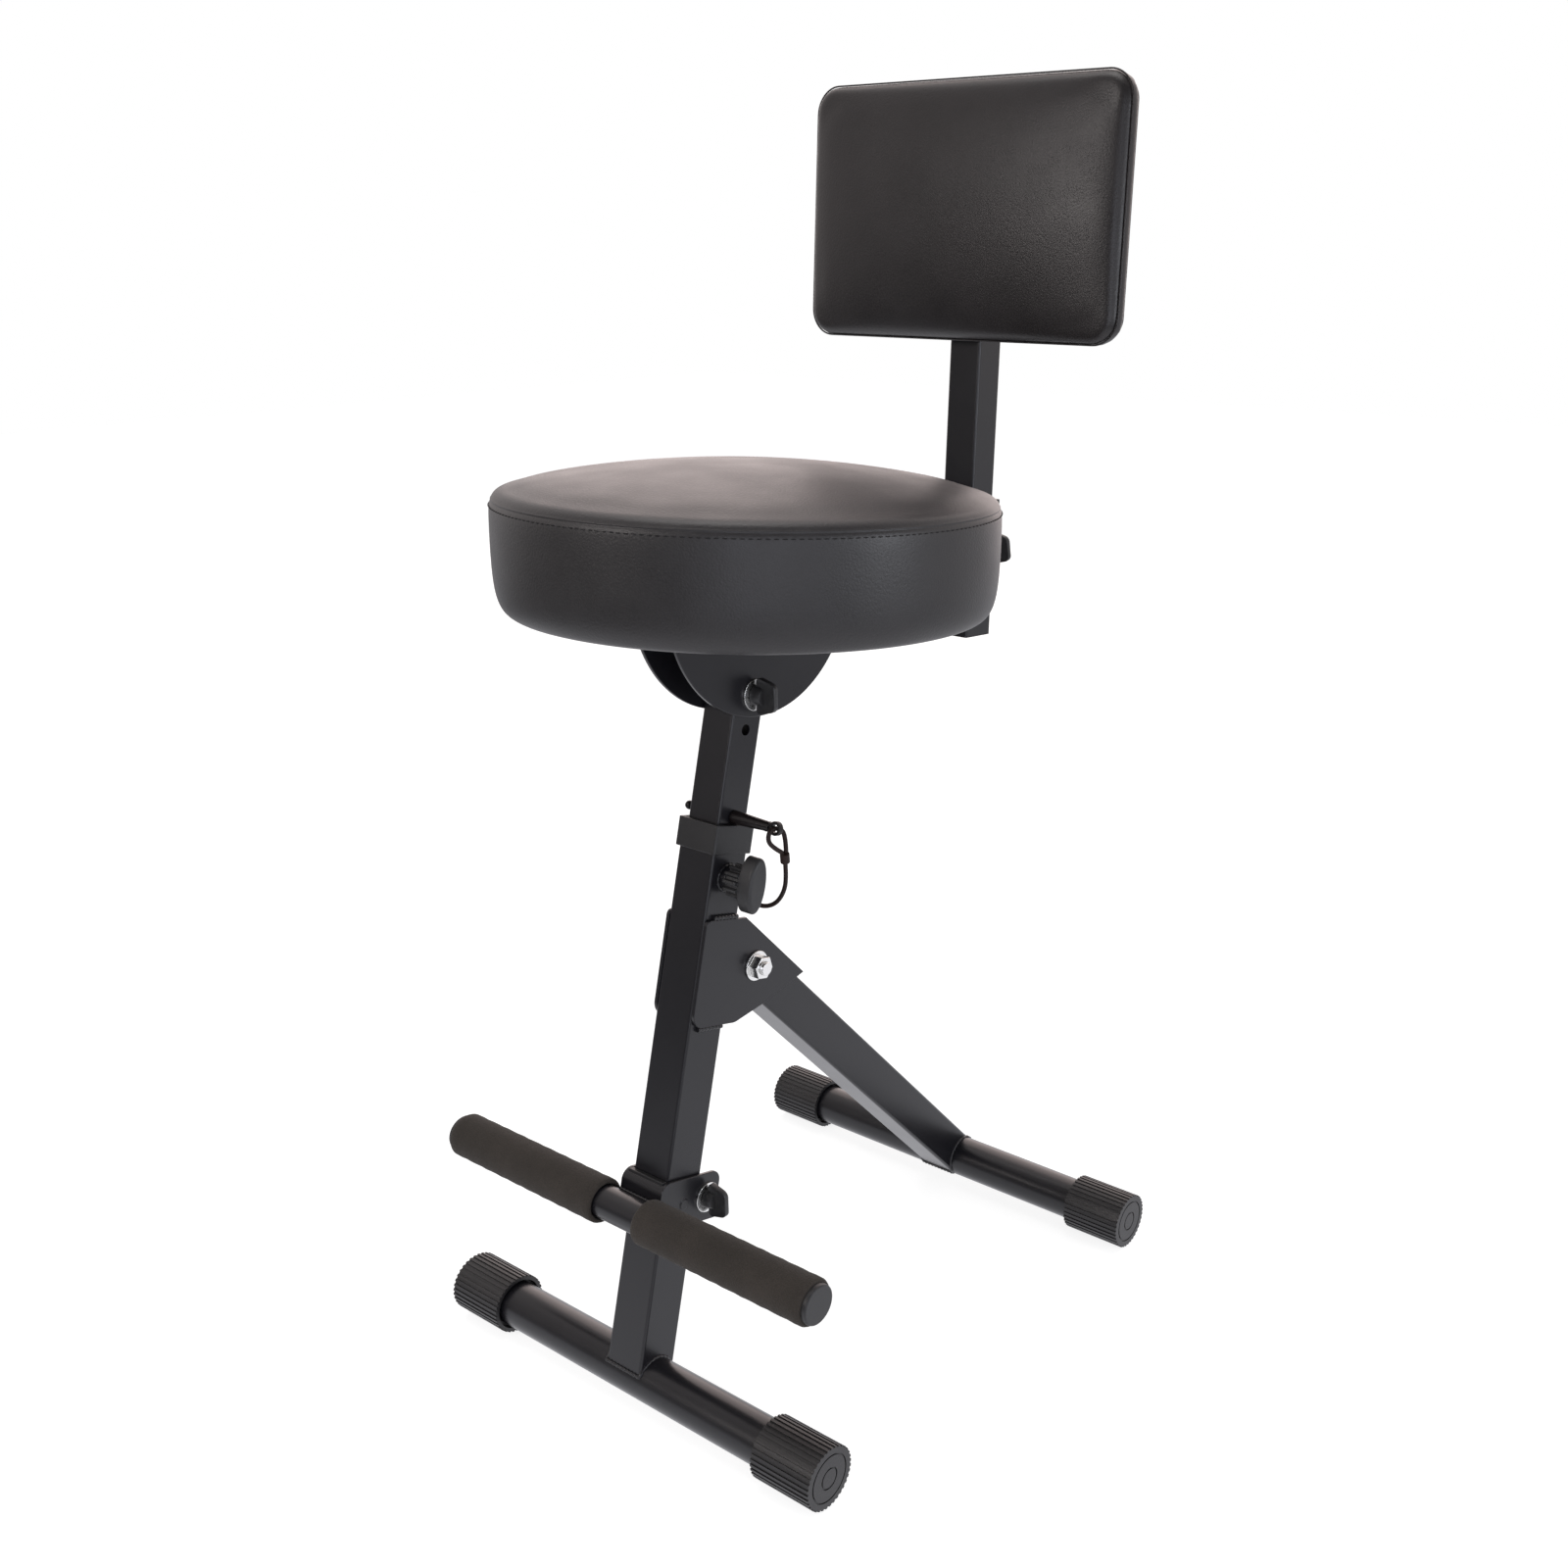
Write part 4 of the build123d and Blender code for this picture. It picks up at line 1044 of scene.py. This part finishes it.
@dataclass
class SeatCushion:
    """Round cushion: a bulging band, a stitched seam and a low crown."""

    seam_radius: float = 0.1774
    crown_height: float = 0.0262
    crown_sphere: float = 0.800
    swell: float = 0.0012
    stitch_count: int = 216
    stitch_length: float = 0.0034
    stitch_radius: float = 0.00042
    stitch_out: float = 0.0008
    stitch_height: float = -0.0034
    segments: int = 144
    underside: float = -0.0765
    pocket_radius: float = 0.1590
    pocket_top: float = -0.060
    seam_edge: float = 0.1735
    seam_hold: float = 0.0012
    crown_radii: tuple[float, ...] = (
        0.163, 0.157, 0.150, 0.141, 0.131, 0.120, 0.108, 0.096,
        0.083, 0.070, 0.057, 0.044, 0.031, 0.019, 0.008,
    )
    band: tuple[Ring, ...] = (
        (0.1586, -0.0650), (0.1586, -0.0772), (0.1625, -0.0775), (0.1662, -0.0771), (0.1692, -0.0759),
        (0.1716, -0.0738), (0.1735, -0.0707), (0.1750, -0.0668), (0.1761, -0.0622), (0.1769, -0.0570),
        (0.1774, -0.0515), (0.1778, -0.0458), (0.1780, -0.0400), (0.1782, -0.0340), (0.1783, -0.0280),
        (0.1783, -0.0220), (0.1783, -0.0166), (0.1783, -0.0120), (0.1782, -0.0082), (0.1781, -0.0052),
        (0.1779, -0.0030), (0.1776, -0.0014), (0.1770, -0.0005), (0.1766, 0.0002), (0.1771, 0.0010),
        (0.1773, 0.0022), (0.1767, 0.0036), (0.1755, 0.0052), (0.1737, 0.0066),
        (0.1712, 0.0077), (0.1680, 0.0084),
    )

    def rings(self) -> list[Ring]:
        """Rings of the whole cushion, from the board's pocket to the crown's middle.

        Returns:
            Radius and height of each ring.
        """
        rise = [
            (r, self.crown_height - (self.crown_sphere - math.sqrt(self.crown_sphere**2 - r**2)))
            for r in self.crown_radii
        ]
        return [*self.band, *rise]

    def held(self, place: Vector) -> bool:
        """Says whether the cover is fixed: in the pocket, under the rim and along the seam.

        Args:
            place: A place in the seat's frame.

        Returns:
            True where it is fixed.
        """
        radius = math.hypot(place.x, place.y)
        under = place.z < self.underside or (radius < self.pocket_radius and place.z < self.pocket_top)
        return under or (radius > self.seam_edge and abs(place.z) < self.seam_hold)

    def stitches(self, places: Places) -> Piece:
        """Makes the row of stitches just below the seam.

        Args:
            places: The frames of the stool's parts.

        Returns:
            The stitches as one piece.
        """
        start_fresh()
        bpy.ops.mesh.primitive_uv_sphere_add(
            segments=8, ring_count=6, radius=self.stitch_radius, location=(0, 0, 0),
        )
        stitch = take_new("seat_stitches")
        stretch = self.stitch_length / (2 * self.stitch_radius)
        stitch.data.transform(Matrix.Diagonal((1, stretch, 1, 1)))
        stitch.data.transform(Matrix.Translation((self.seam_radius + self.stitch_out, 0, self.stitch_height)))
        turn = bpy.data.objects.new("stitch_turn", None)
        turn.rotation_euler = (0, 0, math.tau / self.stitch_count)
        bpy.context.scene.collection.objects.link(turn)
        bpy.context.view_layer.update()
        apply_modifier(
            stitch, "ARRAY", count=self.stitch_count, use_relative_offset=False,
            use_object_offset=True, offset_object=turn,
        )
        bpy.data.objects.remove(turn)
        stitch.data.transform(places.seat)
        smooth(stitch, degrees=60)
        return dress(stitch, THREAD, "seat")

    def build(self, places: Places) -> None:
        """Builds the cushion and its stitches.

        Args:
            places: The frames of the stool's parts.
        """
        cushion = turned("seat_cover", self.rings(), segments=self.segments)
        Filling().swell(cushion, self.held, self.swell)
        apply_modifier(cushion, "SUBSURF", levels=1, render_levels=1)
        cushion.data.transform(places.seat)
        smooth(cushion, degrees=75)
        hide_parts("seat_cushion")
        dress(cushion, SEAT_LEATHER, "seat")
        self.stitches(places)


@dataclass
class BackrestCushion:
    """Rectangular cushion with a crowned front, rolled edges and a narrow side band."""

    width: float = 0.3005
    height: float = 0.1960
    low: float = 0.2406
    back: float = -0.0170
    depth: float = 0.0185
    corner: float = 0.0215
    roll: float = 0.0066
    crown: float = 0.0115
    fullness: float = 2.3
    band: float = 0.0125
    swell: float = 0.001
    voxel: float = 0.0035
    corner_segments: int = 10
    roll_segments: int = 8
    corner_steps: int = 12
    smoothing: int = 9
    smoothing_share: float = 0.5
    edges: tuple[tuple[str, float, float, float], ...] = (
        ("backrest_welt", 0.0003, 0.0290, 0.0007),
        ("backrest_hem", 0.004, 0.0168, 0.0012),
    )

    def held(self, place: Vector) -> bool:
        """Says whether the cover is fixed: over the board and the side band."""
        return place.y > self.back - self.band

    def outline(self, inset: float, depth: float) -> list[Point]:
        """Points round the cushion's outline.

        Args:
            inset: How far inside the widest outline.
            depth: How far in front of the backrest tube's axis.

        Returns:
            Points in the backrest's frame.
        """
        radius = self.corner - inset
        half_wide = self.width / 2 - self.corner
        half_tall = self.height / 2 - self.corner
        middle = self.low + self.height / 2
        points: list[Point] = []
        for quarter, (sign_x, sign_z) in enumerate(((1, 1), (-1, 1), (-1, -1), (1, -1))):
            for step in range(self.corner_steps + 1):
                angle = math.radians(90 * (quarter + step / self.corner_steps))
                x = sign_x * half_wide + radius * math.cos(angle)
                z = middle + sign_z * half_tall + radius * math.sin(angle)
                points.append((x, -depth, z))
        return points

    def body(self) -> Piece:
        """Makes the padded body from a block: rounded corners, rolled front edges, a crowned front.

        Returns:
            The body in the backrest's frame.
        """
        centre_depth = self.back - self.depth / 2
        mid_z = self.low + self.height / 2
        size = (self.width, self.depth, self.height)
        piece = cuboid("backrest_cover", (0, centre_depth, mid_z), size)
        choose(piece, "EDGE", lambda p: abs(p.y - centre_depth) < ON_PLANE)
        bpy.ops.mesh.bevel(offset=self.corner, segments=self.corner_segments, affect="EDGES")
        front = self.back - self.depth
        choose(piece, "EDGE", lambda p: abs(p.y - front) < ON_PLANE)
        bpy.ops.mesh.bevel(offset=self.roll, segments=self.roll_segments, affect="EDGES")
        bpy.ops.object.mode_set(mode="OBJECT")
        apply_modifier(piece, "REMESH", mode="VOXEL", voxel_size=self.voxel)
        for vertex in piece.data.vertices:
            if vertex.co.y > self.back - self.band:
                continue
            across = max(0.0, 1 - abs(2 * vertex.co.x / self.width) ** self.fullness)
            upward = max(0.0, 1 - abs(2 * (vertex.co.z - mid_z) / self.height) ** self.fullness)
            reach = min(1.0, (self.back - self.band - vertex.co.y) / (self.depth - self.band))
            vertex.co.y -= self.crown * across * upward * reach
        return piece

    def build(self, places: Places) -> None:
        """Builds the cushion, its welt and its hem.

        Args:
            places: The frames of the stool's parts.
        """
        cushion = self.body()
        Filling().swell(cushion, self.held, self.swell)
        apply_modifier(cushion, "SMOOTH", factor=self.smoothing_share, iterations=self.smoothing)
        apply_modifier(cushion, "SUBSURF", levels=1, render_levels=1)
        cushion.data.transform(places.back)
        smooth(cushion, degrees=80)
        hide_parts("backrest_cushion")
        dress(cushion, LEATHER, "backrest")
        for name, inset, depth, radius in self.edges:
            points = [tuple(places.back @ Vector(point)) for point in self.outline(inset, depth)]
            welt = line_piece(name, points, radius, closed=True, ripple=0.0)
            smooth(welt, degrees=60)
            dress(welt, LEATHER, "backrest")


# Welds
@dataclass
class Welds:
    """Beads where tubes and plates are welded together."""

    radius: float = 0.0015
    plate_radius: float = 0.0019
    step: float = 0.0011
    ripple: float = 0.2
    post_half: float = 0.0175
    strut_half: float = 0.017
    socket_half: float = 0.0173
    bar_radius: float = 0.0175
    boss_radius: float = 0.0095
    knob_height: float = 0.407
    plate_gap: float = 0.0013
    plate_run: Pair = (-0.0100, 0.0150)
    plate_heights: Pair = (0.3777, 0.2948)
    arm_half: float = 0.0131
    arm_run: Pair = (-0.0580, 0.0850)
    arm_height: float = -0.0810
    clamp_half: float = 0.0195
    clamp_depth: float = -0.0268
    clamp_heights: Pair = (0.1487, 0.1655)

    def bead(self, base: Matrix, points: Sequence[Point], closed: bool, radius: float) -> Piece:
        """Makes one bead.

        Args:
            base: The frame that the points are in.
            points: The bead's run.
            closed: Joins the last point to the first.
            radius: The bead's radius.

        Returns:
            The bead in the row frame.
        """
        placed = [tuple(base @ Vector(point)) for point in points]
        piece = line_piece("bead", placed, radius, closed=closed, ripple=self.ripple)
        smooth(piece, degrees=85)
        return piece

    def straight(self, base: Matrix, start: Point, end: Point, radius: float) -> Piece:
        """Makes a bead between two places in a base frame."""
        return self.bead(base, along([start, end], self.step), closed=False, radius=radius)

    def ring(self, base: Matrix) -> Piece:
        """Makes the bead round a boss.

        Args:
            base: The frame on the boss's face.

        Returns:
            The bead in the row frame.
        """
        count = round(math.tau * self.boss_radius / self.step)
        angles = [math.tau * i / count for i in range(count)]
        points = [(self.boss_radius * math.cos(a), self.boss_radius * math.sin(a), 0) for a in angles]
        return self.bead(base, points, closed=True, radius=self.radius)

    def saddle(self, base: Matrix, half: float, bar: str, sign: int) -> Piece:
        """Makes the bead where a square tube meets a round bar.

        Args:
            base: The tube's frame.
            half: Half of the tube's width across the stool.
            bar: The bar's node.
            sign: 1 if the tube rises from the bar, -1 if it runs down to it.

        Returns:
            The bead in the row frame.
        """
        deep = self.post_half
        corners = [(half, -deep, 0), (half, deep, 0), (-half, deep, 0), (-half, -deep, 0), (half, -deep, 0)]
        low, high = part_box(bar)
        middle = (low + high) / 2
        axis = base.inverted() @ Vector((0, middle.y, middle.z))
        points = []
        for x, y, _ in along(corners, self.step)[:-1]:
            rise = math.sqrt(max(0.0, self.bar_radius**2 - (y - axis.y) ** 2))
            points.append((x, y, axis.z + sign * rise))
        return self.bead(base, points, closed=True, radius=self.radius)

    def build(self, places: Places) -> None:
        """Builds the beads of each body as one piece.

        Args:
            places: The frames of the stool's parts.
        """
        frame_beads = [self.saddle(places.post, self.post_half, "front_foot_bar", 1)]
        for side in (-1, 1):
            x = side * (self.post_half + self.plate_gap)
            for z in self.plate_heights:
                front, rear = ((x, y, z) for y in self.plate_run)
                frame_beads.append(self.straight(places.post, front, rear, self.plate_radius))
        frame_beads.append(self.ring(places.side(places.post, self.post_half, 0, self.knob_height)))
        dress(joined("frame_welds", frame_beads), PAINT, "frame")

        leg_bead = self.saddle(places.strut, self.strut_half, "rear_foot_bar", -1)
        dress(joined("rear_leg_welds", [leg_bead]), PAINT, "rear_leg")

        seat_beads = [self.ring(places.side(places.back, self.socket_half, 0, places.socket_bolt_height))]
        for x in (-self.arm_half, self.arm_half):
            front, rear = ((x, y, self.arm_height) for y in self.arm_run)
            seat_beads.append(self.straight(places.seat, front, rear, self.radius))
        dress(joined("seat_welds", seat_beads), PAINT, "seat")

        clamp_beads = []
        for z in self.clamp_heights:
            left, right = ((x, self.clamp_depth, z) for x in (-self.clamp_half, self.clamp_half))
            clamp_beads.append(self.straight(places.post, left, right, self.radius))
        dress(joined("footrest_welds", clamp_beads), PAINT, "footrest")


# Wing bolts
@dataclass
class WingBolt:
    """Threaded bolt with a moulded hub and two wings."""

    node: str
    body: str
    plane: Matrix
    shank: float
    radius: float = 0.004
    pitch: float = 0.00125
    thread_top: float = -0.004
    thread_length: float = 0.022
    thread_crest: float = 0.99
    thread_root: float = 0.87
    point: tuple[Pair, ...] = ((0.75, 0.0), (0.9, 0.0004))
    point_height: float = 0.0008
    washer: float = 0.0016
    turn: float = 14.0
    wing_size: Point = (0.0050, 0.0280, 0.0170)
    wing_rise: float = 0.0023
    wing_taper: Pair = (0.86, 0.70)
    wing_corner: float = 0.0038
    wing_edge: float = 0.0005
    outer_share: float = 0.28
    flat_share: float = 0.4
    corner_segments: int = 5
    edge_segments: int = 2
    edge_angle: float = 40.0
    screw_segments: int = 32
    hub_segments: int = 40
    field_rim: float = 0.0016
    field_depth: float = 0.0008
    hub_profile: tuple[Ring, ...] = (
        (0.0068, 0.0), (0.0075, 0.0006), (0.0075, 0.0018), (0.0070, 0.0045),
        (0.0064, 0.0070), (0.0058, 0.0079), (0.0040, 0.0083),
    )

    def screw(self) -> Piece:
        """Makes the shank, with thread grooves from its end.

        Returns:
            The shank, with its head end at the washer's face.
        """
        end = -self.shank
        rings: list[Ring] = [(self.radius * share, end + rise) for share, rise in self.point]
        height = end + self.point_height
        crest = self.radius * self.thread_crest
        while height < min(self.thread_top, end + self.thread_length):
            rings.append((crest, height))
            rings.append((self.radius * self.thread_root, height + self.pitch / 2))
            height += self.pitch
        rings.extend([(crest, height), (crest, self.washer)])
        piece = turned(self.node + "_screw", rings, segments=self.screw_segments)
        smooth(piece, degrees=40)
        return piece

    def hub(self) -> Piece:
        """Makes the moulded hub.

        Returns:
            The hub on the washer's face.
        """
        rings = [(radius, self.washer + rise) for radius, rise in self.hub_profile]
        return turned(self.node + "_hub", rings, segments=self.hub_segments)

    def wings(self) -> Piece:
        """Makes the flat blade across the hub, with rounded corners and a sunk field in each face.

        Returns:
            The blade on the hub.
        """
        thick, wide, tall = self.wing_size
        low = self.washer + self.wing_rise
        outer = self.outer_share * wide
        flat = self.flat_share * thick
        piece = cuboid(self.node + "_wings", (0, 0, low + tall / 2), self.wing_size)
        choose(piece, "VERT", lambda p: p.z > low + tall - ON_PLANE)
        bpy.ops.transform.resize(value=(*self.wing_taper, 1), center_override=(0, 0, low + tall))
        choose(piece, "EDGE", lambda p: abs(p.x) < ON_PLANE and abs(p.y) > outer)
        bpy.ops.mesh.bevel(offset=self.wing_corner, segments=self.corner_segments, affect="EDGES")
        choose(piece, "FACE", lambda p: abs(p.x) > flat and abs(p.y) < ON_PLANE)
        bpy.ops.mesh.inset(thickness=self.field_rim, depth=-self.field_depth)
        bpy.ops.object.mode_set(mode="OBJECT")
        apply_modifier(
            piece, "BEVEL", width=self.wing_edge, segments=self.edge_segments, limit_method="ANGLE",
            angle_limit=math.radians(self.edge_angle),
        )
        return piece

    def build(self) -> None:
        """Builds the bolt in its place."""
        screw = self.screw()
        place = self.plane @ Matrix.Rotation(math.radians(self.turn), 4, "Z")
        handle = joined(self.node + "_handle", [self.wings(), self.hub()])
        handle.data.transform(place)
        screw.data.transform(place)
        smooth(handle, degrees=40)
        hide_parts(self.node)
        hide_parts(self.node)
        # The handle takes the black plastic that is painted lighter, as painted light against its shade.
        dress(handle, KNOB_PLASTIC_PAINTED_LIGHTER, self.body)
        dress(screw, ZINC, self.body)


# Footrest grips
@dataclass
class FoamGrips:
    """Two foam sleeves on the footrest tube."""

    radius: float = 0.0169
    bore: float = 0.0125
    length: float = 0.1596
    end: float = 0.181
    lip: float = 0.0022
    lip_shares: Pair = (0.35, 0.3)
    height: float = 0.1571
    forward: float = -0.038
    waviness: float = 0.00018
    flare: float = 0.0014
    mouth_depth: float = 0.004
    wave_step: float = 2.3
    wave_count: int = 26
    segments: int = 72

    def rings(self) -> list[Ring]:
        """Profile of one sleeve, with rounded ends and a slightly uneven skin.

        Returns:
            Radius and height of each ring.
        """
        mouth = self.bore + self.flare
        inward, along_it = self.lip_shares
        shoulder = self.radius - self.lip * inward
        rounding = self.lip * along_it
        outer: list[Ring] = [(mouth, 0.0), (self.radius - self.lip, 0.0), (shoulder, rounding)]
        for step in range(self.wave_count + 1):
            height = self.lip + (self.length - 2 * self.lip) * step / self.wave_count
            outer.append((self.radius + self.waviness * math.sin(step * self.wave_step), height))
        outer.extend([(shoulder, self.length - rounding), (self.radius - self.lip, self.length)])
        outer.extend([(mouth, self.length), (self.bore, self.length - self.mouth_depth)])
        outer.extend([(self.bore, self.mouth_depth), (mouth, 0.0)])
        return outer

    def build(self, places: Places) -> None:
        """Builds both sleeves.

        Args:
            places: The frames of the stool's parts.
        """
        for name, start in (("left_grip", -self.end), ("right_grip", self.end - self.length)):
            grip = turned(name, self.rings(), segments=self.segments, hollow=True)
            grip.data.transform(places.side(places.post, start, self.forward, self.height))
            smooth(grip, degrees=50)
            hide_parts("foam_sleeves")
            dress(grip, FOAM, "footrest")


# Hardware and tubes
@dataclass
class Hardware:
    """CAD nodes that keep their shape, or get rounded edges of a width and a number of steps."""

    kept: tuple[tuple[Finish, tuple[str, ...]], ...] = (
        (PAINT, (
            "front_foot_bar", "rear_foot_bar", "outer_post", "rear_strut", "inner_post", "backrest_arm",
            "backrest_socket", "backrest_tube", "footrest_tube", "bracket_stop",
        )),
        (RUBBER, ("front_foot_caps", "rear_foot_caps")),
        (PLASTIC, ("inner_post_guide",)),
        (ZINC, ("hinge_bush", "knob_screw")),
        (PLYWOOD, ("seat_board", "backrest_board")),
    )
    rounded: tuple[tuple[Finish, float, int, tuple[str, ...]], ...] = (
        (PAINT, 0.0006, 2, ("bracket_plates", "footrest_clamp", "seat_yoke")),
        (PAINT, 0.0005, 2, ("knob_boss", "socket_boss")),
        (PLASTIC, 0.0007, 3, ("post_collar", "socket_collar")),
        (PLASTIC, 0.0009, 3, ("inner_post_cap", "backrest_tube_cap")),
        (PLASTIC, 0.0004, 2, ("footrest_plugs",)),
        (PLASTIC, 0.0006, 2, ("clamp_pad",)),
        # The height knob takes the black plastic that is painted lighter, as painted light.
        (KNOB_PLASTIC_PAINTED_LIGHTER, 0.0005, 2, ("height_knob",)),
        (PIN_BLACK, 0.0004, 2, ("locking_pin",)),
        (ZINC, 0.0005, 2, ("pivot_bolt", "pivot_nut", "seat_bolt_nut", "footrest_bolt_nut")),
        (ZINC, 0.0003, 2, ("seat_bolt_washer", "backrest_bolt_washer", "footrest_bolt_washer")),
        (ZINC, 0.0006, 3, ("seat_screws",)),
        (ZINC, 0.0008, 3, ("backrest_bolts",)),
    )

    def build(self) -> None:
        """Dresses the kept nodes, and makes and dresses the rounded ones on their nodes' bodies."""
        for finish, nodes in self.kept:
            dress_nodes(finish, nodes)
        for finish, width, segments, nodes in self.rounded:
            for node in nodes:
                dress(softened(node, width, segments), finish, frame["nodes"][node]["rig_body"])


def main() -> None:
    """Builds the stool's looks in order."""
    logging.basicConfig(level=logging.INFO, format="%(name)s: %(message)s")
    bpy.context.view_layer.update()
    places = Places()
    Studio().build()
    Lanyard().build(places)
    Hardware().build()
    SeatCushion().build(places)
    BackrestCushion().build(places)
    FoamGrips().build(places)
    Welds().build(places)
    seat_plane = places.side(places.post, places.seat_bolt_face, 0, places.bolt_on_post)
    footrest_plane = places.side(places.post, *places.footrest_bolt)
    back_plane = places.side(places.back, places.socket_bolt_face, 0, places.socket_bolt_height)
    WingBolt("seat_wing_bolt", "seat_clamp", seat_plane, shank=0.0431).build()
    WingBolt("footrest_wing_bolt", "footrest_screw", footrest_plane, shank=0.0481).build()
    WingBolt("backrest_wing_bolt", "backrest_clamp", back_plane, shank=0.0080).build()


if __name__ == "__main__":
    main()
